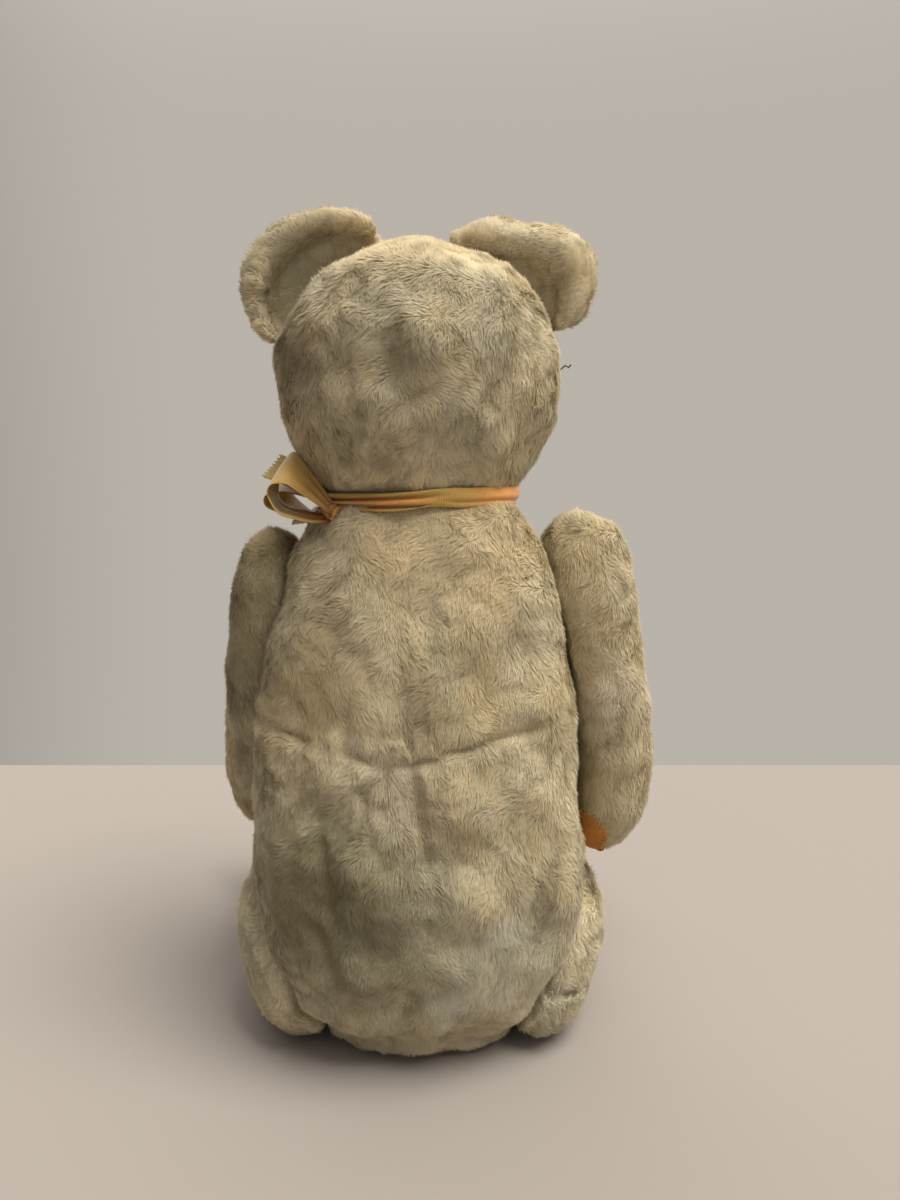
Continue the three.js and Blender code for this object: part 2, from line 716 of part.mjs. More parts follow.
/** The band round the neck. */
function neckBand() {
  const { acrossX, acrossY, height, floor } = BAND;
  const outline = new THREE.Shape();
  outline.absellipse(0, 0, acrossX, acrossY, 0, 2 * Math.PI);
  const hole = new THREE.Path();
  hole.absellipse(0, 0, acrossX - RIBBON.thickness, acrossY - RIBBON.thickness, 0, 2 * Math.PI);
  outline.holes.push(hole);
  const band = new THREE.ExtrudeGeometry(outline, { depth: height, bevelEnabled: false, curveSegments: 10 });
  return solid(band.translate(0, 0, floor));
}

/** The band and its bow as one solid, clear of the head and the torso. */
function makeRibbon() {
  const knot = new THREE.SphereGeometry(KNOT.radius, 8, 6).scale(0.7, 1, 0.9);
  const strips = [...BOW.loops.map(bowLoop), ...BOW.tails.map(bowTail)];
  return strips
    .reduce((joined, strip) => joined.add(strip), neckBand())
    .add(solid(knot.translate(KNOT.x, KNOT.y, KNOT.z)))
    .subtract(proudHead(GAP))
    .subtract(solid(torsoSkin(-GAP, 1.5 * PLUSH_SIDES)));
}

// ---------------------------------------------------------------- the bear

const bear = new THREE.Group();
const torsoGroup = new THREE.Group();

/** Adds a named piece to a group. */
function add(group, name, shape, material) {
  const geometry = shape.isBufferGeometry ? shape : surface(shape);
  const mesh = new THREE.Mesh(geometry, materials[material]);
  mesh.name = name;
  group.add(mesh);
}

/** Adds a joint's five pieces: a disc and a washer on each side, and the pin, which turns with the limb. */
function addHardware(joint, limb, limbGroup, limbMatrix) {
  const parts = [
    ['disc', DISC_FACE, DISC.thickness, discRadius(joint), DISC.bore, DISC_SIDES, 'board'],
    ['washer', WASHER_FACE, WASHER.thickness, WASHER.radius, WASHER.bore, WASHER_SIDES, 'steel'],
  ];
  for (const [name, face, thickness, radius, bore, sides, material] of parts) {
    const plate = roundPlate(face, face + thickness, radius, bore, sides);
    const mirrored = plate.clone().applyMatrix4(FLIP_AXIS).applyMatrix4(frames[joint]);
    add(limbGroup, `${joint}_${limb}_${name}`, plate.applyMatrix4(limbMatrix), material);
    add(torsoGroup, `${joint}_torso_${name}`, mirrored, material);
  }
  add(limbGroup, `${joint}_split_pin`, splitPin().applyMatrix4(limbMatrix), 'steel');
}

bear.add(torsoGroup);
const torso = makeTorso();
add(torsoGroup, 'torso_cover', torso.cover, 'plush');
add(torsoGroup, 'torso_stuffing', torso.stuffing, 'stuffing');

const headGroup = new THREE.Group();
bear.add(headGroup);
const head = makeHead();
add(headGroup, 'head_cover', head.cover, 'plush');
add(headGroup, 'head_stuffing', head.stuffing, 'stuffing');
add(headGroup, 'nose_stitching', makeNose(), 'floss');
add(headGroup, 'mouth_stitching', makeMouth(), 'floss');
for (const side of SIDES) {
  add(headGroup, `ear_${side}`, makeEar(side), 'plush');
  add(headGroup, `eye_${side}`, makeEye(side), 'glass');
}
addHardware('neck', 'head', headGroup, frames.neck);
add(torsoGroup, 'neck_ribbon', makeRibbon(), 'ribbon');

/** Adds a limb and its joint, in a group at the joint. */
function addLimb(kind, side, place, turn, swing) {
  const group = new THREE.Group();
  group.position.set(place.x, place.y, place.z);
  group.setRotationFromEuler(turn);
  group.rotateOnAxis(X_AXIS, degrees(-swing));
  bear.add(group);
  const { cover, pad, stuffing } = makeLimb(kind, side);
  add(group, `${kind}_${side}_cover`, cover, 'plush');
  add(group, `${kind}_${side}_stuffing`, stuffing, 'stuffing');
  add(group, `${limbs[kind].padName}_${side}`, pad, 'felt');
  const axis = side === 'left' ? new THREE.Matrix4() : FLIP_AXIS;
  addHardware(`${limbs[kind].joint}_${side}`, kind, group, axis);
}

for (const side of SIDES) {
  addLimb('arm', side, shoulderPlace(side), shoulderTurn(side), SHOULDERS[side].swing);
  addLimb('leg', side, hipPlace(side), hipTurn(side), 0);
}

export default bear;
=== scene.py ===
"""A worn plush teddy bear with five disc joints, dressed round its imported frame.

Each stuffed part is one closed skin, grown from the frame's own solids, sculpted where the
cloth has sunk or swelled, and planted with short matted pile. Metres, +Z up. The bear looks
along -Y, and +X is its own left.
"""

from __future__ import annotations

import json
import logging
import math
from dataclasses import dataclass, field
from enum import Enum

import bmesh
import bpy
import numpy as np
from mathutils import Matrix, Vector
from mathutils.bvhtree import BVHTree

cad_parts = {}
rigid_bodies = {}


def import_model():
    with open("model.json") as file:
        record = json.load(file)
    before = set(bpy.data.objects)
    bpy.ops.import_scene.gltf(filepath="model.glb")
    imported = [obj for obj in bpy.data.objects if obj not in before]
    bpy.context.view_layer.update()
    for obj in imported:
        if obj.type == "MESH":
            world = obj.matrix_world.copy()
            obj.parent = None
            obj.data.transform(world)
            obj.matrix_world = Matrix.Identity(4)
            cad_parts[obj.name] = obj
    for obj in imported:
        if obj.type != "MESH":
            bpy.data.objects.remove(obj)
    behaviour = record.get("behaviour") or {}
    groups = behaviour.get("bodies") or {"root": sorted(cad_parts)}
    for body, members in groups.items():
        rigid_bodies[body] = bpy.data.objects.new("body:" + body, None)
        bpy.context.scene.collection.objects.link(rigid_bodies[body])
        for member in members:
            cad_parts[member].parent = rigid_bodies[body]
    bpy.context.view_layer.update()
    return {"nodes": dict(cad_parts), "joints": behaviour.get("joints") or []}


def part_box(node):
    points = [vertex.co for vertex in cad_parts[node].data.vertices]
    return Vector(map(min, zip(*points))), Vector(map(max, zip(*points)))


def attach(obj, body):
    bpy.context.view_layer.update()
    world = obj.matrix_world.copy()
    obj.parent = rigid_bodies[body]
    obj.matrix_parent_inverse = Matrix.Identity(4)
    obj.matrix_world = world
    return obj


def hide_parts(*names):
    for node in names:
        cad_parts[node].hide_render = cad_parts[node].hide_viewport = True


log = logging.getLogger("bear")

MM = 0.001
UP = (0.0, 0.0, 1.0)
DOWN = (0.0, 0.0, -1.0)
BACK = (0.0, 1.0, 0.0)

Colour = tuple[float, float, float]
Point = tuple[float, float, float]
Pair = tuple[float, float]


class Side(Enum):
    """The bear's own left and right."""

    LEFT = "left"
    RIGHT = "right"

    @property
    def sign(self) -> int:
        """Which way along X this side lies."""
        return 1 if self is Side.LEFT else -1


class Slot(Enum):
    """The record's material slots."""

    PLUSH = "plush"
    FELT = "felt"
    RIBBON = "ribbon"
    FLOSS = "floss"
    GLASS = "glass"
    BOARD = "board"
    STEEL = "steel"


def linear(colour: Colour) -> tuple[float, float, float, float]:
    """A display colour as the linear colour that a shader takes."""
    parts = [c / 12.92 if c <= 0.04045 else ((c + 0.055) / 1.055) ** 2.4 for c in colour]
    return (*parts, 1.0)


# ---- random fields


@dataclass(frozen=True)
class Ripple:
    """A smooth random field: a sum of plane waves of about one wavelength.

    Args:
        wavelength: Typical distance between two crests, in metres.
        seed: Picks the waves.
        stretch: How much longer the waves are along X, Y and Z.
        waves: How many there are.
    """

    wavelength: float
    seed: int
    stretch: Point = (1.0, 1.0, 1.0)
    waves: int = 18

    def _waves(self) -> tuple[np.ndarray, np.ndarray]:
        """Wave vectors and phases."""
        draw = np.random.default_rng(self.seed)
        ways = draw.normal(size=(self.waves, 3))
        ways /= np.linalg.norm(ways, axis=1)[:, None]
        lengths = self.wavelength * draw.uniform(0.7, 1.5, self.waves)
        vectors = ways * (2 * math.pi / lengths)[:, None] / np.array(self.stretch)
        return vectors, draw.uniform(0, 2 * math.pi, self.waves)

    def at(self, points: np.ndarray) -> np.ndarray:
        """The field at some points, with a spread of about 1 round 0."""
        vectors, phases = self._waves()
        return np.sin(points @ vectors.T + phases).sum(1) * math.sqrt(2 / self.waves)

    def slope(self, points: np.ndarray) -> np.ndarray:
        """The field's gradient, per radian of the typical wave."""
        vectors, phases = self._waves()
        rise = np.cos(points @ vectors.T + phases) @ vectors
        return rise * math.sqrt(2 / self.waves) * self.wavelength / (2 * math.pi)


def step(low: float, high: float, values: np.ndarray) -> np.ndarray:
    """0 below low, 1 above high, and smooth between them."""
    share = np.clip((values - low) / (high - low), 0, 1)
    return share * share * (3 - 2 * share)


def unit(vectors: np.ndarray) -> np.ndarray:
    """Vectors of length 1."""
    return vectors / np.maximum(np.linalg.norm(vectors, axis=1), 1e-12)[:, None]


def curve_through(points: tuple[Point, ...], count: int) -> np.ndarray:
    """A smooth line through some points, given in mm, as evenly numbered points in metres.

    Args:
        points: What it goes through.
        count: How many points it has.
    """
    knots = np.array(points, float) * MM
    knots = np.concatenate([[2 * knots[0] - knots[1]], knots, [2 * knots[-1] - knots[-2]]])
    place = np.linspace(0, len(points) - 1, count)
    first = np.minimum(place.astype(int), len(points) - 2)
    t = (place - first)[:, None]
    a, b, c, d = (knots[first + k] for k in range(4))
    return 0.5 * (2 * b + (c - a) * t + (2 * a - 5 * b + 4 * c - d) * t**2 + (3 * b - a - 3 * c + d) * t**3)


# ---- places on a part


def box(node: str) -> tuple[np.ndarray, np.ndarray]:
    """A CAD node's lowest and highest corners."""
    low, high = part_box(node)
    return np.array(low), np.array(high)


@dataclass(frozen=True)
class Spot:
    """A place in the box of a CAD node, as a share of the box along X, Y and Z."""

    node: str
    share: Point

    def point(self) -> np.ndarray:
        """Where that is, in metres."""
        low, high = box(self.node)
        return low + np.array(self.share) * (high - low)


@dataclass(frozen=True)
class Push:
    """A soft dent or swelling.

    Args:
        middle: Where it is deepest.
        radius: How far it reaches, in mm.
        move: The way it moves the cloth there, in mm.
    """

    middle: Spot
    radius: float
    move: Point

    def offset(self, points: np.ndarray) -> np.ndarray:
        """How each point moves."""
        near = np.linalg.norm(points - self.middle.point(), axis=1) / (self.radius * MM)
        return np.exp(-near * near)[:, None] * np.array(self.move) * MM


LOST_PATCHES = Ripple(24 * MM, 77)  # where the pile hides a seam


@dataclass(frozen=True)
class Crease:
    """A valley along a line in cloth that looks backwards, such as a seam or a fold.

    Args:
        node: The CAD node whose box the line is given in.
        line: Its points, as shares of that box along X and Z.
        width: Half its width, in mm.
        depth: In mm.
        gather: How strongly the pile thins along it, and how much soiling and painted shade it gets there.
        lost: How much of it the pile hides, in patches.
    """

    node: str
    line: tuple[Pair, ...]
    width: float
    depth: float
    gather: float = 1.0
    lost: float = 0.0

    def weight(self, points: np.ndarray, normals: np.ndarray) -> np.ndarray:
        """How near each point is to the line: 1 on it and 0 far away.

        Args:
            points: Points of the cloth.
            normals: The way out at each of them.
        """
        seen_from_behind = (1, 0, 1)
        flat = points * seen_from_behind
        line = [Spot(self.node, (x, 0.0, z)).point() * seen_from_behind for x, z in self.line]
        nearest = np.full(len(points), np.inf)
        for start, end in zip(line, line[1:]):
            along = end - start
            share = np.clip((flat - start) @ along / (along @ along), 0, 1)
            away = np.linalg.norm(flat - start - share[:, None] * along, axis=1)
            nearest = np.minimum(nearest, away)
        ratio = nearest / (self.width * MM)
        seen = 1 - self.lost * step(-0.6, 0.7, LOST_PATCHES.at(points))
        return np.exp(-ratio * ratio) * step(0.0, 0.35, normals[:, 1]) * seen

    def offset(self, points: np.ndarray, normals: np.ndarray) -> np.ndarray:
        """How each point moves."""
        return -normals * (self.weight(points, normals) * self.depth * MM)[:, None]


# ---- finishes


class Shader:
    """Builds one material's nodes, a call for each."""

    def __init__(self, name: str, roughness: float, **sockets: float) -> None:
        """Starts a material.

        Args:
            name: The material's name.
            roughness: The shader's roughness.
            sockets: Further plain values of the shader's sockets, _ for each space.
        """
        self.material = bpy.data.materials.new(name)
        self.material.use_nodes = True
        self.tree = self.material.node_tree
        self.surface = self.tree.nodes["Principled BSDF"]
        self.surface.inputs["Roughness"].default_value = roughness
        for key, value in sockets.items():
            self.surface.inputs[key.replace("_", " ")].default_value = value
        self.place = self.node("ShaderNodeTexCoord").outputs["Object"]

    def node(self, kind: str, **settings: object) -> bpy.types.Node:
        """A new node with some of its properties set."""
        made = self.tree.nodes.new(kind)
        for key, value in settings.items():
            setattr(made, key, value)
        return made

    def feed(self, socket: bpy.types.NodeSocket, value: object) -> None:
        """Links a socket to an output, or sets it to a value.

        Args:
            socket: The input.
            value: An output, or a plain value. Three numbers are a display colour.
        """
        if isinstance(value, bpy.types.NodeSocket):
            self.tree.links.new(value, socket)
        elif isinstance(value, tuple) and len(value) == 3 and socket.type == "RGBA":
            socket.default_value = linear(value)
        else:
            socket.default_value = value

    def noise(
        self, scale: float, detail: float = 3.0, rough: float = 0.55, stretch: Point | None = None
    ) -> bpy.types.NodeSocket:
        """Noise on the piece's own coordinates, from 0 to 1.

        Args:
            scale: Waves per metre.
            detail: How many finer layers it has.
            rough: How strong they are.
            stretch: Factors on the scale along X, Y and Z.
        """
        made = self.node("ShaderNodeTexNoise")
        made.inputs["Scale"].default_value = scale
        made.inputs["Detail"].default_value = detail
        made.inputs["Roughness"].default_value = rough
        place = self.place
        if stretch:
            mapping = self.node("ShaderNodeMapping")
            mapping.inputs["Scale"].default_value = stretch
            self.feed(mapping.inputs["Vector"], place)
            place = mapping.outputs["Vector"]
        self.feed(made.inputs["Vector"], place)
        return made.outputs["Fac"]

    def spread(
        self, value: object, low: float, high: float, to_low: float = 0.0, to_high: float = 1.0
    ) -> bpy.types.NodeSocket:
        """A value's range spread smoothly over another."""
        made = self.node("ShaderNodeMapRange", interpolation_type="SMOOTHSTEP")
        for key, number in enumerate((value, low, high, to_low, to_high)):
            self.feed(made.inputs[key], number)
        return made.outputs["Result"]

    def maths(self, operation: str, a: object, b: object = 0.0) -> bpy.types.NodeSocket:
        """One sum on two numbers."""
        made = self.node("ShaderNodeMath", operation=operation)
        self.feed(made.inputs[0], a)
        self.feed(made.inputs[1], b)
        return made.outputs[0]

    def mix(self, share: object, a: object, b: object) -> bpy.types.NodeSocket:
        """Colour a turned into colour b by a share."""
        made = self.node("ShaderNodeMix", data_type="RGBA")
        self.feed(made.inputs["Factor"], share)
        self.feed(made.inputs[6], a)
        self.feed(made.inputs[7], b)
        return made.outputs[2]

    def shade(self, colour: object, value: object) -> bpy.types.NodeSocket:
        """A colour made lighter or darker by a number."""
        made = self.node("ShaderNodeVectorMath", operation="SCALE")
        self.feed(made.inputs[0], colour)
        self.feed(made.inputs["Scale"], value)
        return made.outputs[0]

    def near(self, middle: np.ndarray, inner: float, outer: float) -> bpy.types.NodeSocket:
        """1 within a distance of a place and 0 beyond a further one, with a ragged edge.

        Args:
            middle: The place.
            inner: The nearer distance.
            outer: The further one.
        """
        made = self.node("ShaderNodeVectorMath", operation="DISTANCE")
        self.feed(made.inputs[0], self.place)
        made.inputs[1].default_value = tuple(middle)
        ragged = self.maths("MULTIPLY", self.noise(160.0), 0.7 * outer)
        away = self.maths("ADD", made.outputs["Value"], self.maths("SUBTRACT", ragged, 0.35 * outer))
        return self.spread(away, inner, outer, 1.0, 0.0)

    def attribute(self, name: str) -> bpy.types.NodeSocket:
        """A number that the mesh carries."""
        return self.node("ShaderNodeAttribute", attribute_name=name).outputs["Fac"]

    def bump(self, height: object, distance: float, strength: float = 1.0) -> None:
        """Roughens the surface by a height.

        Args:
            height: From 0 to 1.
            distance: What 1 stands for, in metres.
            strength: How much of it shows.
        """
        made = self.node("ShaderNodeBump")
        made.inputs["Strength"].default_value = strength
        made.inputs["Distance"].default_value = distance
        self.feed(made.inputs["Height"], height)
        self.feed(self.surface.inputs["Normal"], made.outputs["Normal"])

    def let_through(self, share: float, colour: object) -> None:
        """Lets a share of the light through, as thin fibres do.

        Args:
            share: How much of it.
            colour: The fibres' colour.
        """
        sheer = self.node("ShaderNodeBsdfTranslucent")
        self.feed(sheer.inputs["Color"], colour)
        both = self.node("ShaderNodeMixShader")
        self.feed(both.inputs[0], share)
        self.feed(both.inputs[1], self.surface.outputs[0])
        self.feed(both.inputs[2], sheer.outputs[0])
        self.feed(self.tree.nodes["Material Output"].inputs["Surface"], both.outputs[0])

    def finish(self, colour: object) -> bpy.types.Material:
        """Gives the surface its colour and ends the material."""
        self.feed(self.surface.inputs["Base Color"], colour)
        return self.material


@dataclass(frozen=True)
class ColourPatch:
    """A soft-edged patch of another colour.

    Args:
        middle: Its middle.
        inner: Radius of its full part, in mm.
        outer: Radius where it has faded away, in mm.
        colour: Its colour.
        strength: How much of it shows.
    """

    middle: Spot
    inner: float
    outer: float
    colour: Colour
    strength: float


class Weave(Enum):
    """The two things that plush is made of."""

    PILE = "pile"
    BACKING = "backing"


@dataclass(frozen=True)
class PlushFinish:
    """Cream mohair plush, yellowed, greyed and soiled by a long life, with light and shade painted on some
    patches, along its creases and partings, and deep in its pile.
    """

    cream: Colour = (0.93, 0.89, 0.785)
    ochre: Colour = (0.88, 0.822, 0.68)
    ash: Colour = (0.85, 0.825, 0.73)
    # Colour of real soiling, also used for painted shade in creases, tuft partings and where parts touch.
    soil_and_shade: Colour = (0.64, 0.59, 0.455)
    # How dark a strand is at its root: painted shade deep in the pile.
    root: float = 0.70
    sheer: float = 0.35
    stains_and_painted_light: tuple[ColourPatch, ...] = (
        ColourPatch(Spot("head_cover", (0.90, 0.82, 0.50)), 3.0, 24.0, (0.50, 0.41, 0.26), 0.65),
        ColourPatch(Spot("head_cover", (0.60, 0.95, 0.12)), 1.0, 8.0, (0.50, 0.41, 0.26), 0.5),
        # Painted light: a pale warm patch on top of the head, where the key light falls from above.
        ColourPatch(Spot("head_cover", (0.55, 0.70, 0.98)), 16.0, 40.0, (0.97, 0.90, 0.76), 0.5),
        # Painted light: a pale warm patch high on the back, on the bear's right, where the key light falls.
        ColourPatch(Spot("torso_cover", (0.38, 0.86, 0.93)), 12.0, 46.0, (0.97, 0.90, 0.75), 0.55),
        # Painted shade: a dark grey-green patch low on the back, on the bear's left.
        ColourPatch(Spot("torso_cover", (0.76, 0.92, 0.34)), 10.0, 54.0, (0.50, 0.485, 0.37), 0.75),
        ColourPatch(Spot("torso_cover", (0.24, 0.92, 0.22)), 8.0, 34.0, (0.93, 0.93, 0.86), 0.5),
        ColourPatch(Spot("torso_cover", (0.34, 0.95, 0.389)), 2.0, 12.0, (0.96, 0.96, 0.91), 0.6),
        ColourPatch(Spot("torso_cover", (0.25, 0.95, 0.295)), 2.0, 12.0, (0.96, 0.96, 0.91), 0.6),
        ColourPatch(Spot("torso_cover", (0.40, 0.95, 0.156)), 2.0, 14.0, (0.96, 0.96, 0.91), 0.5),
        ColourPatch(Spot("ear_left", (0.30, 0.9, 0.40)), 8.0, 17.0, (0.93, 0.92, 0.88), 0.7),
        # Painted shade: a darker patch over the left arm.
        ColourPatch(Spot("arm_left_cover", (0.8, 0.9, 0.75)), 14.0, 60.0, (0.58, 0.54, 0.40), 0.5),
    )

    def material(self, weave: Weave) -> bpy.types.Material:
        """The pile's strands, or the cloth that they stand on.

        Args:
            weave: Which of the two.

        Returns:
            The material. Strands carry the attributes along, tone and grime, the last being soiling and
            painted shade.
        """
        shader = Shader(f"plush_{weave.value}", 0.92, Sheen_Weight=0.08, Specular_IOR_Level=0.15)
        colour = shader.mix(shader.spread(shader.noise(22.0, 4.0, 0.6), 0.38, 0.64), self.cream, self.ochre)
        greyed = shader.spread(shader.noise(30.0, 5.0, 0.6, (1.0, 1.0, 0.6)), 0.46, 0.64, 0.0, 0.75)
        colour = shader.mix(greyed, colour, self.ash)
        dirty = shader.spread(shader.noise(75.0, 4.0, 0.65, (1.0, 1.0, 0.55)), 0.52, 0.70, 0.0, 0.6)
        colour = shader.mix(dirty, colour, self.soil_and_shade)
        for coloured_patch in self.stains_and_painted_light:
            share = shader.near(coloured_patch.middle.point(), coloured_patch.inner * MM, coloured_patch.outer * MM)
            colour = shader.mix(shader.maths("MULTIPLY", share, coloured_patch.strength), colour, coloured_patch.colour)
        # Soiling and painted shade from the strand's mark: darker in creases, tuft partings and where parts
        # touch.
        grime = shader.maths("MULTIPLY", shader.attribute("grime"), 0.8)
        colour = shader.mix(grime, colour, self.soil_and_shade)
        if weave is Weave.BACKING:
            shader.bump(shader.noise(900.0, 2.0), 0.0008)
            # Painted shade under the pile: the backing is darkened to 0.7 to 0.9 of the plush colour,
            # unevenly.
            mottle = shader.spread(shader.noise(500.0), 0.3, 0.7, 0.7, 0.9)
            return shader.finish(shader.shade(colour, mottle))
        # Painted shade deep in the pile: each strand darkens from its tip down to its root.
        light = shader.spread(shader.attribute("along"), 0.0, 0.8, self.root, 1.0)
        light = shader.maths("MULTIPLY", light, shader.attribute("tone"))
        shader.let_through(self.sheer, colour)
        return shader.finish(shader.shade(colour, light))


@dataclass(frozen=True)
class FeltFinish:
    """Orange-rust wool felt, thinned and rubbed dark where it has been held."""

    bright: Colour = (0.80, 0.52, 0.18)
    rubbed: Colour = (0.66, 0.40, 0.14)

    def material(self) -> bpy.types.Material:
        """Felt: short tangled wool, seen as a fine mottle and a soft nap."""
        shader = Shader("felt", 0.95, Sheen_Weight=0.25, Specular_IOR_Level=0.1)
        wool = shader.noise(1400.0, 4.0, 0.7)
        handled = shader.spread(shader.noise(38.0, 5.0, 0.6), 0.42, 0.66)
        colour = shader.mix(handled, self.bright, self.rubbed)
        colour = shader.shade(colour, shader.spread(wool, 0.3, 0.7, 0.8, 1.12))
        shader.bump(wool, 0.0006, 0.8)
        return shader.finish(colour)


@dataclass(frozen=True)
class RibbonFinish:
    """Faded orange-gold taffeta, its colour gone olive where it has aged, with painted shade in its pleats
    and knot.
    """

    orange: Colour = (0.99, 0.70, 0.38)
    gold: Colour = (0.76, 0.63, 0.33)
    # Aged colour in random patches, and the colour of the painted shade in the ribbon's pleats, creases and
    # knot.
    rust: Colour = (0.50, 0.22, 0.07)
    threads_per_mm: float = 3.2

    def material(self) -> bpy.types.Material:
        """Taffeta: fine ribs across the ribbon, read from its own map."""
        shader = Shader("ribbon_taffeta", 0.42, Sheen_Weight=0.2, Specular_IOR_Level=0.35)
        fade = shader.attribute("fade")
        colour = shader.mix(shader.spread(fade, 0.0, 0.5), self.orange, self.gold)
        colour = shader.mix(shader.spread(shader.noise(45.0, 3.0), 0.5, 0.75, 0.0, 0.25), colour, self.rust)
        # Painted shade in the pleats, creases and knot, by the fold mark.
        colour = shader.mix(shader.attribute("fold"), colour, self.rust)
        own = shader.node("ShaderNodeUVMap", uv_map="Ribbon").outputs["UV"]
        wave = shader.node("ShaderNodeTexWave", wave_type="BANDS", bands_direction="X")
        wave.inputs["Scale"].default_value = 1000.0 * self.threads_per_mm / (2 * math.pi)
        wave.inputs["Distortion"].default_value = 0.6
        shader.feed(wave.inputs["Vector"], own)
        ribs = wave.outputs["Fac"]
        shader.bump(ribs, 0.00015, 0.6)
        return shader.finish(shader.shade(colour, shader.spread(ribs, 0.0, 1.0, 0.92, 1.05)))


@dataclass(frozen=True)
class FlossFinish:
    """Dark brown embroidery floss, worn lighter on its crests."""

    dark: Colour = (0.20, 0.13, 0.10)
    worn: Colour = (0.38, 0.27, 0.20)

    def material(self) -> bpy.types.Material:
        """Floss: a soft gloss with a fine twist."""
        shader = Shader("floss", 0.6, Sheen_Weight=0.3)
        twist = shader.noise(1800.0, 2.0, 0.5, (1.0, 1.0, 0.4))
        shader.bump(twist, 0.0003, 0.7)
        return shader.finish(shader.mix(shader.spread(twist, 0.4, 0.8, 0.0, 0.6), self.dark, self.worn))


@dataclass(frozen=True)
class GlassFinish:
    """An eye of amber glass over a black pupil, lightly scratched."""

    amber: Colour = (0.42, 0.19, 0.04)
    rim: Colour = (0.14, 0.06, 0.02)
    pupil: Colour = (0.01, 0.01, 0.01)

    def material(self, middle: np.ndarray, outward: np.ndarray, radius: float) -> bpy.types.Material:
        """Glass for one eye.

        Args:
            middle: The bead's middle.
            outward: The way it looks.
            radius: The bead's radius.

        Returns:
            The material, its pupil and iris painted round the way it looks.
        """
        shader = Shader("eye_glass", 0.08, Coat_Weight=0.8, Coat_Roughness=0.03, Specular_IOR_Level=0.6)
        front = shader.node("ShaderNodeVectorMath", operation="DISTANCE")
        shader.feed(front.inputs[0], shader.place)
        front.inputs[1].default_value = tuple(middle + outward * radius)
        away = front.outputs["Value"]
        colour = shader.mix(shader.spread(away, 0.50 * radius, 0.60 * radius), self.pupil, self.amber)
        colour = shader.mix(shader.spread(away, 0.85 * radius, 1.15 * radius), colour, self.rim)
        shader.bump(shader.noise(700.0, 5.0, 0.7), 0.00002, 0.5)
        return shader.finish(colour)


@dataclass(frozen=True)
class BoardFinish:
    """Raw fibreboard."""

    pale: Colour = (0.62, 0.50, 0.34)
    dark: Colour = (0.40, 0.30, 0.19)

    def material(self) -> bpy.types.Material:
        """Pressed fibres: a fleck at two scales."""
        shader = Shader("fibreboard", 0.85)
        fleck = shader.noise(600.0, 5.0, 0.7)
        shader.bump(fleck, 0.0003, 0.6)
        return shader.finish(shader.mix(shader.spread(fleck, 0.35, 0.7), self.pale, self.dark))


@dataclass(frozen=True)
class SteelFinish:
    """Dulled plain steel."""

    bright: Colour = (0.62, 0.60, 0.57)
    dull: Colour = (0.36, 0.33, 0.30)

    def material(self) -> bpy.types.Material:
        """Bare metal with a dull bloom and fine scratches."""
        shader = Shader("plain_steel", 0.4, Metallic=1.0)
        bloom = shader.noise(260.0, 5.0, 0.65)
        shader.bump(shader.noise(2500.0, 2.0, 0.5, (1.0, 1.0, 0.1)), 0.00005, 0.5)
        return shader.finish(shader.mix(shader.spread(bloom, 0.4, 0.75), self.bright, self.dull))


# ---- meshes


def add_object(
    name: str, mesh: bpy.types.Mesh, finish: bpy.types.Material | None = None
) -> bpy.types.Object:
    """An object at the origin for a mesh, smooth shaded.

    Args:
        name: The object's name.
        mesh: Its mesh.
        finish: Its material, if it has one yet.

    Returns:
        The object.
    """
    made = bpy.data.objects.new(name, mesh)
    bpy.context.scene.collection.objects.link(made)
    mesh.shade_smooth()
    if finish:
        mesh.materials.clear()
        mesh.materials.append(finish)
    return made


def join(piece: bpy.types.Object, slot: Slot, body: str, *stands_for: str) -> None:
    """Hides the CAD nodes that a piece stands for, and hangs the piece on the body that it moves with.

    Args:
        piece: The piece.
        slot: The record's material slot for the piece. Not used.
        body: The CAD body that it rides on.
        stands_for: The CAD nodes that it replaces, if any.
    """
    if stands_for:
        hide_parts(*stands_for)
    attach(piece, body)


def settle(obj: bpy.types.Object) -> bpy.types.Object:
    """Turns an object with modifiers into a plain mesh.

    Args:
        obj: The object.

    Returns:
        The same object.
    """
    bpy.context.view_layer.update()
    seen = obj.evaluated_get(bpy.context.evaluated_depsgraph_get())
    plain = bpy.data.meshes.new_from_object(seen)
    obj.modifiers.clear()
    old = obj.data
    obj.data = plain
    bpy.data.meshes.remove(old)
    return obj


def numbers(collection: bpy.types.bpy_prop_collection, key: str, width: int, kind: type) -> np.ndarray:
    """One property of each item in a collection, as an array."""
    values = np.empty(len(collection) * width, kind)
    collection.foreach_get(key, values)
    return values.reshape(-1, width) if width > 1 else values


def pin(mesh: bpy.types.Mesh, name: str, values: np.ndarray) -> None:
    """Stores a number or a vector on each of a mesh's vertices."""
    vector = values.ndim == 2
    made = mesh.attributes.new(name, "FLOAT_VECTOR" if vector else "FLOAT", "POINT")
    made.data.foreach_set("vector" if vector else "value", values.astype(np.float32).ravel())


def totals(values: np.ndarray, keys: np.ndarray, count: int) -> np.ndarray:
    """The sum of the rows that share a key."""
    return np.stack([np.bincount(keys, weights=values[:, k], minlength=count) for k in range(3)], 1)


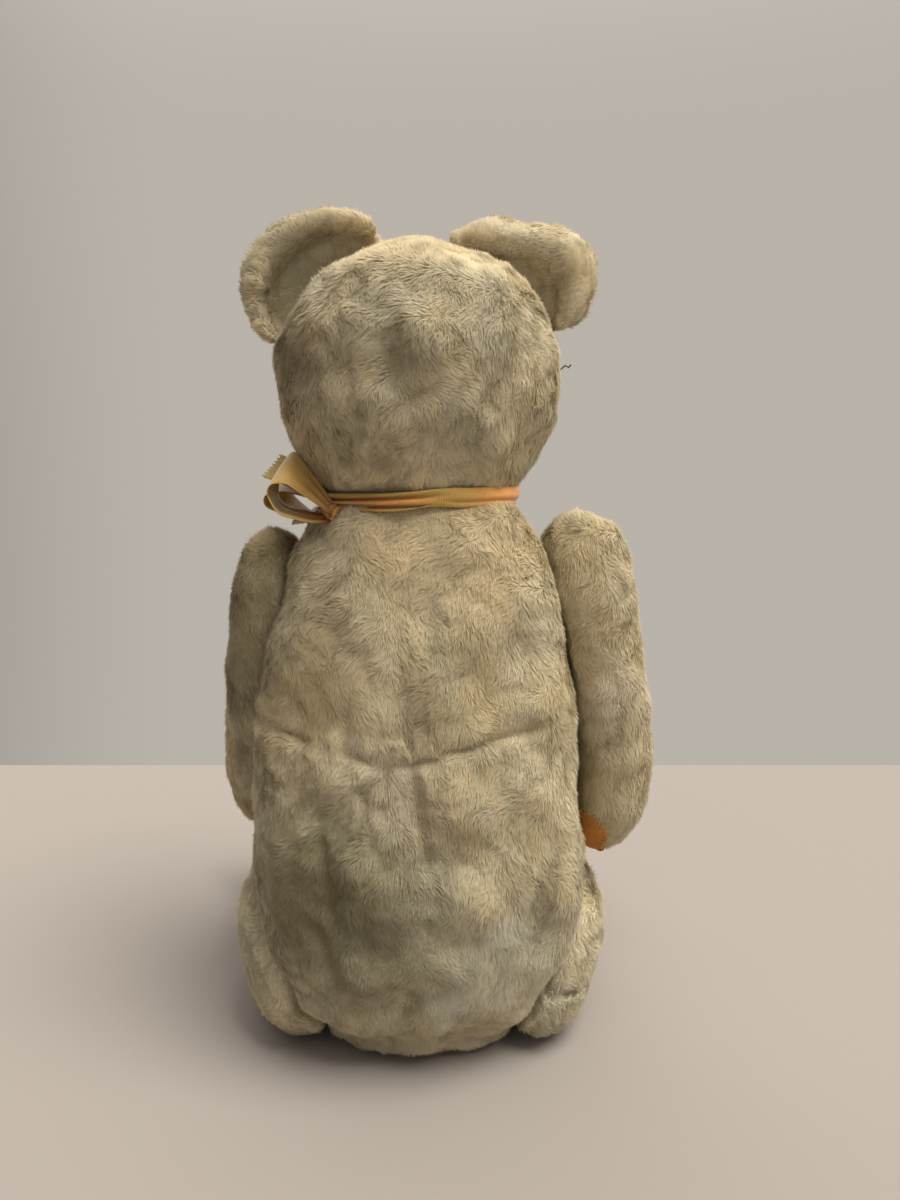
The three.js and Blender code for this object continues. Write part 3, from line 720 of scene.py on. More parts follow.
@dataclass
class Cloth:
    """A surface of four-sided faces, as arrays."""

    points: np.ndarray
    quads: np.ndarray

    @property
    def edges(self) -> np.ndarray:
        """Each pair of points that are joined, once."""
        ends = np.concatenate([self.quads[:, [k, (k + 1) % 4]] for k in range(4)])
        return np.unique(np.sort(ends, axis=1), axis=0)

    @property
    def normals(self) -> np.ndarray:
        """The way out at each point."""
        a, b, c, d = (self.points[self.quads[:, k]] for k in range(4))
        face = np.cross(c - a, d - b)
        return unit(sum(totals(face, self.quads[:, k], len(self.points)) for k in range(4)))

    def soften(self, rounds: int) -> None:
        """Moves each point halfway to its neighbours' middle, again and again.

        Args:
            rounds: How often.
        """
        edges, count = self.edges, len(self.points)
        degree = np.bincount(edges.ravel(), minlength=count)[:, None]
        for _ in range(rounds):
            around = totals(self.points[edges[:, 1]], edges[:, 0], count)
            around += totals(self.points[edges[:, 0]], edges[:, 1], count)
            self.points = (self.points + around / degree) / 2

    def part(self, faces: np.ndarray) -> tuple[Cloth, np.ndarray]:
        """Some of the faces as a surface of their own, and which points they use."""
        used, quads = np.unique(self.quads[faces], return_inverse=True)
        return Cloth(self.points[used], quads.reshape(-1, 4)), used

    def mesh(self, name: str) -> bpy.types.Mesh:
        """The surface as a mesh."""
        made = bpy.data.meshes.new(name)
        made.from_pydata(self.points.tolist(), [], self.quads.tolist())
        return made

    def tree(self) -> BVHTree:
        """The surface, ready to be searched."""
        return BVHTree.FromPolygons(self.points.tolist(), self.quads.tolist())


def islands(quads: np.ndarray, count: int) -> np.ndarray:
    """A label for each point, alike on points that hang together.

    Args:
        quads: The surface's faces.
        count: How many points it has.
    """
    label = np.arange(count)
    while True:
        least = label[quads].min(axis=1)
        lower = label.copy()
        for k in range(4):
            np.minimum.at(lower, quads[:, k], least)
        lower = lower[lower]
        if (lower == label).all():
            return label
        label = lower


PLUG = 3.4 * MM  # a ball that closes the pin's hole in a cover before the skin is grown


def grown(nodes: tuple[str, ...], holes: list[np.ndarray], voxel: float) -> Cloth:
    """One closed surface round some CAD nodes.

    Args:
        nodes: The solids that it covers.
        holes: Where holes in them are plugged.
        voxel: The size of its faces.

    Returns:
        The outer surface.
    """
    work = bmesh.new()
    for node in nodes:
        work.from_mesh(bpy.data.objects[node].data)
    bmesh.ops.remove_doubles(work, verts=work.verts, dist=0.00002)
    for hole in holes:
        bmesh.ops.create_icosphere(work, subdivisions=2, radius=PLUG, matrix=Matrix.Translation(hole))
    mesh = bpy.data.meshes.new("grown")
    work.to_mesh(mesh)
    work.free()
    return remeshed(mesh, voxel)


def remeshed(mesh: bpy.types.Mesh, voxel: float) -> Cloth:
    """The outer surface of some closed shapes, in even faces.

    Args:
        mesh: The shapes. It is used up.
        voxel: The size of the faces.

    Returns:
        The largest surface that hangs together.
    """
    obj = add_object("grown", mesh)
    remesh = obj.modifiers.new("remesh", "REMESH")
    remesh.mode = "VOXEL"
    remesh.voxel_size = voxel
    settle(obj)
    points = numbers(obj.data.vertices, "co", 3, float)
    quads = numbers(obj.data.loops, "vertex_index", 1, int).reshape(-1, 4)
    bpy.data.objects.remove(obj)
    label = islands(quads, len(points))
    largest = np.bincount(label).argmax()
    return Cloth(points, quads).part(label[quads[:, 0]] == largest)[0]


# ---- the pile


@dataclass(frozen=True)
class Nap:
    """How a part's pile lies.

    Args:
        flow: The way that it was brushed.
        length: Its length, in mm.
        swirl: How far its lay wanders, in degrees.
        lift: How much it stands up: 0 is flat and 1 is straight up.
        tuft: The size of its matted tufts, in mm.
        matting: How strongly it draws together into them.
        width: A strand's width, in mm.
        disorder: How much each strand goes its own way.
        softness: How much it shades like one surface.
        crown: How far the lay turns back where it lies on top, 1 being right round.
        aside: The way it goes where it is halfway to turning back.
    """

    flow: Point = DOWN
    length: float = 3.6
    swirl: float = 26.0
    lift: float = 0.27
    tuft: float = 9.0
    matting: float = 0.3
    width: float = 0.5
    disorder: float = 0.17
    softness: float = 0.93
    crown: float = 1.0
    aside: Point = (0.6, 0.3, 0.0)


class Tree:
    """A Geometry Nodes tree with named inputs, built here and grown on an object."""

    NAME = ""
    INPUTS: tuple[tuple[str, str], ...] = ()

    def __init__(self) -> None:
        """Builds the tree."""
        self.tree = bpy.data.node_groups.new(self.NAME, "GeometryNodeTree")
        self.sockets = {
            name: self.tree.interface.new_socket(
                name, in_out="INPUT", socket_type=f"NodeSocket{kind}"
            ).identifier
            for name, kind in self.INPUTS
        }
        self.tree.interface.new_socket("Made", in_out="OUTPUT", socket_type="NodeSocketGeometry")
        self.given = self.tree.nodes.new("NodeGroupInput").outputs
        self._build()

    def _build(self) -> None:
        """Adds the tree's own nodes."""
        raise NotImplementedError

    def _node(self, kind: str, inputs: dict | None = None, **settings: object) -> bpy.types.Node:
        """A new node, its properties set and its inputs linked or set.

        Args:
            kind: The node's type.
            inputs: Outputs or plain values, by input name or number.
            settings: The node's own properties.
        """
        made = self.tree.nodes.new(kind)
        for key, value in settings.items():
            setattr(made, key, value)
        for key, value in (inputs or {}).items():
            if isinstance(value, bpy.types.NodeSocket):
                self.tree.links.new(value, made.inputs[key])
            else:
                made.inputs[key].default_value = value
        return made

    def _carried(self, name: str, kind: str = "FLOAT") -> bpy.types.NodeSocket:
        """A number or vector that the panel carries."""
        return self._node("GeometryNodeInputNamedAttribute", {"Name": name}, data_type=kind).outputs[0]

    def _random(self, low: float, high: float, salt: int) -> bpy.types.NodeSocket:
        """A random number for each strand."""
        seed = self._sum("ADD", self.given["Seed"], float(salt))
        made = self._node("FunctionNodeRandomValue", {2: low, 3: high, "Seed": seed}, data_type="FLOAT")
        return made.outputs[1]

    def _random_way(self, salt: int) -> bpy.types.NodeSocket:
        """A random vector for each strand, each part from -1 to 1."""
        seed = self._sum("ADD", self.given["Seed"], float(salt))
        inputs = {0: (-1.0, -1.0, -1.0), 1: (1.0, 1.0, 1.0), "Seed": seed}
        return self._node("FunctionNodeRandomValue", inputs, data_type="FLOAT_VECTOR").outputs[0]

    def _sum(self, operation: str, a: object, b: object) -> bpy.types.NodeSocket:
        """One sum on two numbers."""
        return self._node("ShaderNodeMath", {0: a, 1: b}, operation=operation).outputs[0]

    def _drift(self, way: object, wander: object, share: object) -> bpy.types.NodeSocket:
        """A vector with a share of another added."""
        made = self._node("ShaderNodeVectorMath", {"Scale": share, 0: wander}, operation="SCALE")
        return self._node("ShaderNodeVectorMath", {0: way, 1: made.outputs[0]}, operation="ADD").outputs[0]

    def _turned(self, along: object, beside: object, axis: str) -> bpy.types.NodeSocket:
        """A turn that lays Z along one vector and leans another axis towards a second."""
        inputs = {0: along, 1: beside}
        made = self._node("FunctionNodeAxesToRotation", inputs, primary_axis="Z", secondary_axis=axis)
        return made.outputs[0]

    def _store(self, points: object, name: str, value: object, kind: str = "FLOAT") -> bpy.types.NodeSocket:
        """The points, now carrying a number or vector by a name."""
        inputs = {"Geometry": points, "Name": name, "Value": value}
        made = self._node("GeometryNodeStoreNamedAttribute", inputs, data_type=kind, domain="POINT")
        return made.outputs[0]

    def _plant(self, points: object, shape: object, turn: object, size: object) -> None:
        """Puts a copy of an object's mesh on each point and ends the tree."""
        copy = self._node("GeometryNodeObjectInfo", {"Object": shape}).outputs["Geometry"]
        inputs = {"Points": points, "Instance": copy, "Rotation": turn, "Scale": size}
        self._end(self._node("GeometryNodeInstanceOnPoints", inputs).outputs[0])

    def _end(self, geometry: bpy.types.NodeSocket) -> None:
        """Makes plain meshes of the instances, gives them their finish and ends the tree."""
        plain = self._node("GeometryNodeRealizeInstances", {"Geometry": geometry})
        inputs = {"Geometry": plain.outputs[0], "Material": self.given["Finish"]}
        dressed = self._node("GeometryNodeSetMaterial", inputs)
        self.tree.links.new(dressed.outputs[0], self.tree.nodes.new("NodeGroupOutput").inputs[0])

    def grow(self, obj: bpy.types.Object, values: dict[str, object]) -> bpy.types.Object:
        """Turns an object into what the tree makes of it.

        Args:
            obj: The object, its vertices carrying the attributes that the tree reads.
            values: What the tree's named inputs are set to.

        Returns:
            The same object, now a plain mesh.
        """
        modifier = obj.modifiers.new("made", "NODES")
        modifier.node_group = self.tree
        for name, value in values.items():
            modifier[self.sockets[name]] = value
        return settle(obj)


class PileTree(Tree):
    """Plants strands of pile on a panel that carries thick, reach, lay and grime, which is soiling and
    painted shade.
    """

    NAME = "plush_pile"
    TWIST = 0.55  # how far a strand's flat side turns from the cloth
    INPUTS = (
        ("Panel", "Geometry"),
        ("Strand", "Object"),
        ("Strands per square metre", "Float"),
        ("Length", "Float"),
        ("Width", "Float"),
        ("Disorder", "Float"),
        ("Seed", "Int"),
        ("Finish", "Material"),
    )

    def _build(self) -> None:
        """Points on the panel, a strand on each, its lay and size, and plain meshes at the end."""
        density = self._sum("MULTIPLY", self.given["Strands per square metre"], self._carried("thick"))
        inputs = {"Mesh": self.given["Panel"], "Density": density, "Seed": self.given["Seed"]}
        spread = self._node("GeometryNodeDistributePointsOnFaces", inputs)
        lay = self._drift(self._carried("lay", "FLOAT_VECTOR"), self._random_way(1), self.given["Disorder"])
        face = self._drift(spread.outputs["Normal"], self._random_way(2), self.TWIST)
        turn = self._turned(lay, face, "Y")
        reach = self._sum("MULTIPLY", self._random(0.65, 1.2, 3), self._carried("reach"))
        long = self._sum("MULTIPLY", self.given["Length"], reach)
        wide = self._sum("MULTIPLY", self.given["Width"], self._random(0.6, 1.3, 4))
        size = self._node("ShaderNodeCombineXYZ", {0: wide, 1: long, 2: long}).outputs[0]
        points = self._store(spread.outputs["Points"], "tone", self._random(0.95, 1.05, 5))
        points = self._store(points, "outward", spread.outputs["Normal"], "FLOAT_VECTOR")
        self._plant(points, self.given["Strand"], turn, size)


class StitchTree(Tree):
    """Sews a row of stitches along an edge that carries up and inward."""

    NAME = "overcast_stitches"
    SLANT = 0.22  # how far a stitch strays from square across the edge
    INPUTS = (
        ("Edge", "Geometry"),
        ("Stitch", "Object"),
        ("Spacing", "Float"),
        ("Size", "Float"),
        ("Seed", "Int"),
        ("Finish", "Material"),
    )

    def _build(self) -> None:
        """The edge as a curve, evenly spaced points on it, and a stitch across it at each."""
        curve = self._node("GeometryNodeMeshToCurve", {"Mesh": self.given["Edge"]})
        inputs = {"Curve": curve.outputs[0], "Length": self.given["Spacing"]}
        even = self._node("GeometryNodeResampleCurve", inputs, mode="LENGTH")
        up = self._carried("up", "FLOAT_VECTOR")
        across = self._drift(self._carried("inward", "FLOAT_VECTOR"), self._random_way(1), self.SLANT)
        turn = self._turned(up, across, "X")
        size = self._sum("MULTIPLY", self.given["Size"], self._random(0.85, 1.15, 2))
        self._plant(even.outputs[0], self.given["Stitch"], turn, size)


class ThreadTree(Tree):
    """Turns polylines into round threads."""

    NAME = "threads"
    INPUTS = (
        ("Lines", "Geometry"),
        ("Radius", "Float"),
        ("Sides", "Int"),
        ("Finish", "Material"),
    )

    def _build(self) -> None:
        """The lines as curves, swept by a circle and closed at their ends."""
        curve = self._node("GeometryNodeMeshToCurve", {"Mesh": self.given["Lines"]})
        inputs = {"Resolution": self.given["Sides"], "Radius": self.given["Radius"]}
        round_ = self._node("GeometryNodeCurvePrimitiveCircle", inputs)
        inputs = {"Curve": curve.outputs[0], "Profile Curve": round_.outputs[0], "Fill Caps": True}
        self._end(self._node("GeometryNodeCurveToMesh", inputs).outputs[0])


def lines_object(name: str, lines: list[np.ndarray]) -> bpy.types.Object:
    """An object of polylines.

    Args:
        name: The object's name.
        lines: Each line's points.
    """
    mesh = bpy.data.meshes.new(name)
    starts = np.cumsum([0] + [len(line) for line in lines])
    edges = [(k, k + 1) for start, stop in zip(starts, starts[1:]) for k in range(start, stop - 1)]
    mesh.from_pydata(np.concatenate(lines).tolist(), edges, [])
    return add_object(name, mesh)


STRAND_CORNERS = 3
STRAND_MAP = ((0.1, 0.1), (0.9, 0.1), (0.5, 0.9))


def strand_object() -> bpy.types.Object:
    """One strand, a unit long and a unit wide at its root, which tapers to its tip."""
    mesh = bpy.data.meshes.new("strand")
    mesh.from_pydata([(-0.5, 0, 0), (0.5, 0, 0), (0, 0, 1)], [], [(1, 0, 2)])
    pin(mesh, "along", np.array([0.0, 0.0, 1.0]))
    return bpy.data.objects.new("strand", mesh)


def soften_strands(mesh: bpy.types.Mesh, share: float) -> None:
    """Shades strands partly like the surface that they stand on, as fine pile looks from afar.

    Args:
        mesh: The pile, its vertices carrying the surface's outward direction.
        share: How much of the surface's shading it takes.
    """
    outward = numbers(mesh.attributes["outward"].data, "vector", 3, np.float32)
    own = numbers(mesh.vertices, "normal", 3, np.float32)
    own = own * np.sign((own * outward).sum(1))[:, None]
    mixed = unit(outward * share + own * (1 - share))
    mesh.attributes.remove(mesh.attributes["outward"])
    mesh.normals_split_custom_set_from_vertices(mixed.tolist())


def map_strands(mesh: bpy.types.Mesh) -> None:
    """Gives each strand a cell of its own in the UV map named OFBake.

    Args:
        mesh: The pile.
    """
    corners = numbers(mesh.loops, "vertex_index", 1, int)
    strand, corner = corners // STRAND_CORNERS, corners % STRAND_CORNERS
    across = math.ceil(math.sqrt(len(mesh.vertices) / STRAND_CORNERS))
    cell = np.stack([strand % across, strand // across], 1)
    own = (cell + np.array(STRAND_MAP)[corner]) / across
    layer = mesh.uv_layers.new(name="OFBake")
    layer.data.foreach_set("uv", own.astype(np.float32).ravel())


# ---- stuffed parts


REACH = 30 * MM  # how far round it a part looks for its neighbours
NEAR_PAD = 6 * MM  # how far past its felt pad a skin may belong to it
LYING = 0.15 * MM  # how close to the floor a skin may come
TUFT_MIDDLE = 0.55  # how high cloth stands on its tuft where billowing leaves it in place


@dataclass(frozen=True)
class Panel:
    """Part of a skin that carries one patch of pile.

    Args:
        name: The pile's piece name.
        density: Strands per square mm.
        low: Lowest corner, as a share of the skin's box.
        high: Highest corner, as a share of the skin's box.
    """

    name: str
    density: float
    low: Point = (-1.0, -1.0, -1.0)
    high: Point = (2.0, 2.0, 2.0)

    def faces(self, cloth: Cloth) -> np.ndarray:
        """Which of a skin's faces it takes."""
        middles = cloth.points[cloth.quads].mean(axis=1)
        low, high = cloth.points.min(axis=0), cloth.points.max(axis=0)
        share = (middles - low) / (high - low)
        return ((share >= self.low) & (share < self.high)).all(axis=1)


@dataclass(frozen=True)
class Contact:
    """How a skin gives way to what it touches.

    Args:
        clear: Distance at which the pile stands freely, in mm.
        least: How much of its length is left where it is squeezed flat.
        bare: How much of the pile is left where two parts rub together.
        held: Distance below which the skin isn't shaped, in mm.
        loose: Distance at which it is shaped freely, in mm.
        most: The share of the gap that it may swell into.
    """

    clear: float = 4.5
    least: float = 0.15
    bare: float = 0.12
    held: float = 1.5
    loose: float = 12.0
    most: float = 0.45


@dataclass(frozen=True)
class Wear:
    """How a part's pile has suffered, and where it takes painted shade, as shares of 1.

    Args:
        bald: Size of its thin patches, in mm.
        soiling_and_shade_shares: What a crease, a parting and a rubbed place add to the soiling and painted
            shade.
        shorter: What a crease and a thin patch take from the pile's length.
        thinner: What a parting and a thin patch take from its strands.
    """

    bald: float = 34.0
    soiling_and_shade_shares: Point = (0.55, 0.35, 0.5)
    shorter: Pair = (0.45, 0.3)
    thinner: Pair = (0.3, 0.35)


@dataclass
class StuffedPart:
    """A stuffed part of the bear: a closed skin of plush and the pile on it.

    Args:
        name: What its pieces are named after.
        body: The CAD body that it rides on.
        nodes: The CAD nodes that the skin is grown round.
        covered: The CAD nodes that it stands for.
        panels: Where its pile grows, and how densely.
        nap: How the pile lies.
        pushes: Dents and swellings.
        creases: Seams and folds.
        swell: How far the skin stands off the solids, in mm.
        voxel: The size of its faces, in mm.
        rounds: How much it is smoothed.
        lumps: Height of the stuffing's lumps, in mm.
        billow: Height of the matted tufts, in mm.
        fill: How tightly it is stuffed, from 0 to 1. Not used.
        seed: Picks its random fields.
        contact: How it gives way to what it touches.
        wear: How its pile has suffered, and where it takes painted shade.
        lump: The size of the stuffing's lumps, in mm.
        pad: The CAD node of the felt pad that is sewn to it.
        pad_more: A place in the pad's box and a radius in mm, that the pad has stretched to cover.
    """

    name: str
    body: str
    nodes: tuple[str, ...]
    covered: tuple[str, ...]
    panels: tuple[Panel, ...]
    nap: Nap = Nap()
    pushes: tuple[Push, ...] = ()
    creases: tuple[Crease, ...] = ()
    swell: float = 1.3
    voxel: float = 1.6
    rounds: int = 10
    lumps: float = 0.5
    billow: float = 0.35
    fill: float = 0.8
    seed: int = 1
    contact: Contact = Contact()
    wear: Wear = Wear()
    lump: float = 26.0
    pad: str | None = None
    pad_more: tuple[Point, float] | None = None
    skin: Cloth = field(init=False)
    gap: np.ndarray = field(init=False)
    padded: np.ndarray = field(init=False)

    def grow(self, joints: list[dict]) -> None:
        """Grows the smooth skin round the solids.

        Args:
            joints: The record's joints. The holes that their pins leave are plugged.
        """
        low, high = box(self.nodes[0])
        holes = []
        for joint in joints:
            if self.body in (joint["parent"], joint["child"]) and len(self.nodes) > 1:
                place, axis = np.array(joint["pos_m"], float), np.array(joint["axis"], float)
                inward = axis * math.copysign(1.0, axis @ ((low + high) / 2 - place))
                holes.append(place + inward * 1.15 * PLUG)
        self.skin = grown(self.nodes, holes, self.voxel * MM)
        self.skin.soften(self.rounds)
        self.padded = self._near_pad()

    def _near_pad(self) -> np.ndarray:
        """How much nearer each point is to the felt pad than to the plush, in metres."""
        if self.pad is None:
            return np.full(len(self.skin.points), -1.0)
        felt, plush = (node_tree(node) for node in (self.pad, self.nodes[0]))
        share = np.full(len(self.skin.points), -1.0)
        low, high = box(self.pad)
        near = ((self.skin.points > low - NEAR_PAD) & (self.skin.points < high + NEAR_PAD)).all(axis=1)
        for k in np.flatnonzero(near):
            place = self.skin.points[k]
            share[k] = plush.find_nearest(place)[3] - felt.find_nearest(place)[3]
        if self.pad_more:
            middle, radius = self.pad_more
            away = np.linalg.norm(self.skin.points - Spot(self.pad, middle).point(), axis=1)
            share = np.maximum(share, radius * MM - away)
        return share

    def clearance(self, parts: list[StuffedPart]) -> np.ndarray:
        """How far each point of the skin is from the nearest other part.

        Args:
            parts: Every stuffed part, this one too, which is passed over.

        Returns:
            Distances in metres, at most REACH, the floor left out.
        """
        points = self.skin.points
        least = np.full(len(points), REACH)
        for other in parts:
            if other is self:
                continue
            low, high = other.skin.points.min(axis=0) - REACH, other.skin.points.max(axis=0) + REACH
            tree = other.skin.tree()
            for k in np.flatnonzero(((points > low) & (points < high)).all(axis=1)):
                found = tree.find_nearest(points[k], REACH)
                if found[0] is not None:
                    inside = (Vector(points[k]) - found[0]).dot(found[1]) < 0
                    least[k] = min(least[k], 0.0 if inside else found[3])
        return least

    def shape(self, gap: np.ndarray) -> None:
        """Swells, dents, creases and ruffles the skin, less where another part is near.

        Args:
            gap: The clearance of each point beforehand.
        """
        cloth, normals = self.skin, self.skin.normals
        free = step(self.contact.held * MM, self.contact.loose * MM, gap)[:, None]
        points = cloth.points
        move = normals * np.minimum(self.swell * MM, self.contact.most * gap)[:, None]
        for push in self.pushes:
            offset = push.offset(points)
            outward = step(-0.6, 0.4, (unit(offset) * normals).sum(1))[:, None]
            move = move + offset * (1 - outward * (1 - free))
        for crease in self.creases:
            move = move + crease.offset(points, normals) * free
        above_seat = step(0.0, 8 * MM, points[:, 2])
        uneven = Ripple(self.lump * MM, self.seed).at(points) * self.lumps * above_seat
        uneven += (self._tufts(points) - TUFT_MIDDLE) * self.billow * (self.padded < 0)
        cloth.points = points + move + normals * uneven[:, None] * MM * free
        cloth.points[:, 2] = np.maximum(cloth.points[:, 2], LYING)

    def _flow(self, points: np.ndarray) -> np.ndarray:
        """The way that the pile was brushed at each point."""
        return np.broadcast_to(np.array(self.nap.flow), points.shape)

    def _tufts(self, points: np.ndarray) -> np.ndarray:
        """How high each point stands on its tuft: 0 in a parting, about 1 on a crest."""
        return np.abs(Ripple(2 * self.nap.tuft * MM, self.seed + 10).at(points))

    def _lay(self, points: np.ndarray, normals: np.ndarray) -> np.ndarray:
        """The way that the pile lies at each point.

        Args:
            points: Points of the skin.
            normals: The way out at each of them.
        """
        nap = self.nap
        over = nap.crown * step(0.30, 0.80, normals[:, 2])[:, None]
        flow = self._flow(points) * (1 - 2 * over) + np.array(nap.aside) * 4 * over * (1 - over)
        flow = unit(flow - normals * (flow * normals).sum(1)[:, None])
        aside = np.cross(normals, flow)
        turn = Ripple(30 * MM, self.seed + 20).at(points) + 0.7 * Ripple(9 * MM, self.seed + 21).at(points)
        turn = (turn * math.radians(nap.swirl))[:, None]
        along = flow * np.cos(turn) + aside * np.sin(turn)
        coarse = Ripple(2 * nap.tuft * MM, self.seed + 10)
        fine = Ripple(0.9 * nap.tuft * MM, self.seed + 11)
        for field_, share in ((coarse, 1.0), (fine, 0.8)):
            rise = field_.slope(points) * np.sign(field_.at(points))[:, None]
            rise -= normals * (rise * normals).sum(1)[:, None]
            along = along + rise * nap.matting * share
        return unit(unit(along) * math.sqrt(1 - nap.lift**2) + normals * nap.lift)

    def dress(
        self, tree: PileTree, strand: bpy.types.Object, cloths: dict[Weave, bpy.types.Material]
    ) -> None:
        """Makes the skin's piece and the pile's pieces.

        Args:
            tree: The tree that plants the pile.
            strand: One strand.
            cloths: The two materials of the plush.
        """
        cloth, normals = self.skin, self.skin.normals
        points = cloth.points
        gather = np.zeros(len(points))
        for crease in self.creases:
            gather = np.maximum(gather, crease.weight(points, normals) * crease.gather)
        parting = np.exp(-((self._tufts(points) / 0.3) ** 2))
        gap = np.minimum(self.gap, points[:, 2])
        pressed = 1 - step(0.3 * MM, self.contact.clear * MM, gap)
        wear = self.wear
        bald = step(0.50, 1.7, Ripple(wear.bald * MM, self.seed + 30).at(points))
        # Soiling and painted shade: darker along creases, in the partings between tufts and where parts
        # touch.
        in_crease, in_parting, rubbed = wear.soiling_and_shade_shares
        grime = np.clip(in_crease * gather + in_parting * parting + rubbed * pressed, 0, 1)
        reach = np.clip(gap / (self.contact.clear * MM), self.contact.least, 1.0)
        reach *= (1 - wear.shorter[0] * np.clip(gather, 0, 1)) * (1 - wear.shorter[1] * bald)
        thick = (1 - (1 - self.contact.bare) * pressed) * (1 - wear.thinner[0] * parting)
        thick = thick * (1 - wear.thinner[1] * bald) * (self.padded < 0)
        lay = self._lay(points, normals)
        lay[:, 2] = np.maximum(lay[:, 2], -points[:, 2] / (self.nap.length * MM))
        skin = add_object(f"{self.name}_plush", cloth.mesh(f"{self.name}_plush"), cloths[Weave.BACKING])
        pin(skin.data, "grime", grime)
        join(skin, Slot.PLUSH, self.body, *self.covered)
        for number, panel in enumerate(self.panels):
            patch, used = cloth.part(panel.faces(cloth))
            pile = add_object(panel.name, patch.mesh(panel.name))
            for key, values in (("thick", thick), ("reach", reach), ("grime", grime), ("lay", lay)):
                pin(pile.data, key, values[used])
            values = {
                "Strand": strand,
                "Strands per square metre": panel.density / MM**2,
                "Length": self.nap.length * MM,
                "Width": self.nap.width * MM,
                "Disorder": self.nap.disorder,
                "Seed": self.seed * 10 + number,
                "Finish": cloths[Weave.PILE],
            }
            tree.grow(pile, values)
            for key in ("thick", "reach", "lay"):
                if key in pile.data.attributes:
                    pile.data.attributes.remove(pile.data.attributes[key])
            soften_strands(pile.data, self.nap.softness)
            map_strands(pile.data)
            join(pile, Slot.PLUSH, self.body)
            log.info("%s: %d strands", panel.name, len(pile.data.vertices) // STRAND_CORNERS)


def node_tree(node: str) -> BVHTree:
    """A CAD node's surface, ready to be searched."""
    mesh = bpy.data.objects[node].data
    return BVHTree.FromPolygons([v.co for v in mesh.vertices], [tuple(p.vertices) for p in mesh.polygons])


@dataclass
class Torso(StuffedPart):
    """The bear's body, dressed round its cover, stuffing and the discs in it."""

    name: str = "torso"
    body: str = "torso"
    nodes: tuple[str, ...] = ("torso_cover", "torso_stuffing") + tuple(
        f"{joint}_torso_disc"
        for joint in ("neck", "shoulder_left", "shoulder_right", "hip_left", "hip_right")
    )
    covered: tuple[str, ...] = ("torso_cover", "torso_stuffing")
    panels: tuple[Panel, ...] = (
        Panel("torso_pile_back_yoke", 6.0, low=(-1, 0.52, 0.5)),
        Panel("torso_pile_back_skirt", 6.0, low=(-1, 0.52, -1), high=(2, 2, 0.5)),
        Panel("torso_pile_front", 2.3, high=(2, 0.52, 2)),
    )
    nap: Nap = Nap(flow=DOWN, tuft=8.0)
    pushes: tuple[Push, ...] = (
        Push(Spot("torso_cover", (1.0, 0.55, 0.66)), 30.0, (1.6, 0.0, 0.0)),
        Push(Spot("torso_cover", (0.0, 0.55, 0.66)), 30.0, (-1.6, 0.0, 0.0)),
        Push(Spot("torso_cover", (0.5, 0.95, 0.02)), 44.0, (0.0, -8.0, 4.0)),
        Push(Spot("torso_cover", (0.90, 0.85, 0.03)), 30.0, (-3.0, -6.0, 1.5)),
        Push(Spot("torso_cover", (0.10, 0.85, 0.03)), 30.0, (3.0, -6.0, 1.5)),
        Push(Spot("torso_cover", (0.58, 1.0, 0.50)), 10.0, (0.0, -2.0, 0.0)),
        Push(Spot("torso_cover", (0.42, 1.0, 0.50)), 9.0, (0.0, 1.2, 0.0)),
        Push(Spot("torso_cover", (0.68, 1.0, 0.42)), 9.0, (0.0, 1.4, 0.0)),
        Push(Spot("torso_cover", (0.30, 1.0, 0.30)), 16.0, (0.0, 1.6, 0.0)),
    )
    creases: tuple[Crease, ...] = (
        Crease(
            "torso_cover",
            ((0.02, 0.650), (0.084, 0.645), (0.292, 0.617), (0.458, 0.589),
             (0.6, 0.585), (0.766, 0.608), (0.933, 0.631), (1.03, 0.645)),
            2.4, 2.0, gather=0.8, lost=0.7,
        ),
        Crease("torso_cover", ((0.65, 0.54), (0.63, 0.48), (0.59, 0.42)), 2.6, 1.6, lost=0.3),
        Crease("torso_cover", ((0.51, 0.58), (0.49, 0.52), (0.47, 0.43)), 2.6, 1.4, lost=0.3),
        Crease("torso_cover", ((0.77, 0.45), (0.76, 0.41), (0.75, 0.35)), 3.0, 1.6, lost=0.2),
        Crease("torso_cover", ((0.79, 0.31), (0.74, 0.22), (0.67, 0.14)), 3.4, 2.4, gather=0.8),
        Crease("torso_cover", ((0.70, 0.66), (0.69, 0.57)), 3.0, 1.2, gather=0.6),
        Crease("torso_cover", ((0.20, 0.78), (0.16, 0.70)), 3.2, 1.2, gather=0.5),
    )
    swell: float = 2.2
    voxel: float = 1.9
    lumps: float = 1.1
    fill: float = 0.75
    seed: int = 3


@dataclass
class Head(StuffedPart):
    """The head, with its muzzle."""

    name: str = "head"
    body: str = "head"
    nodes: tuple[str, ...] = ("head_cover", "head_stuffing", "neck_head_disc")
    covered: tuple[str, ...] = ("head_cover", "head_stuffing")
    panels: tuple[Panel, ...] = (
        Panel("head_pile_back", 6.6, low=(-1, 0.42, -1)),
        Panel("head_pile_face", 5.0, high=(2, 0.42, 2)),
    )
    nap: Nap = Nap(flow=DOWN, tuft=7.0)
    creases: tuple[Crease, ...] = (
        Crease("head_cover", ((0.62, 0.68), (0.51, 0.38)), 6.0, 2.4, gather=0.35),
        Crease("head_cover", ((0.13, 0.57), (0.26, 0.36)), 5.0, 1.6, gather=0.4),
    )
    swell: float = 2.2
    voxel: float = 1.7
    lumps: float = 0.8
    fill: float = 0.9
    seed: int = 5


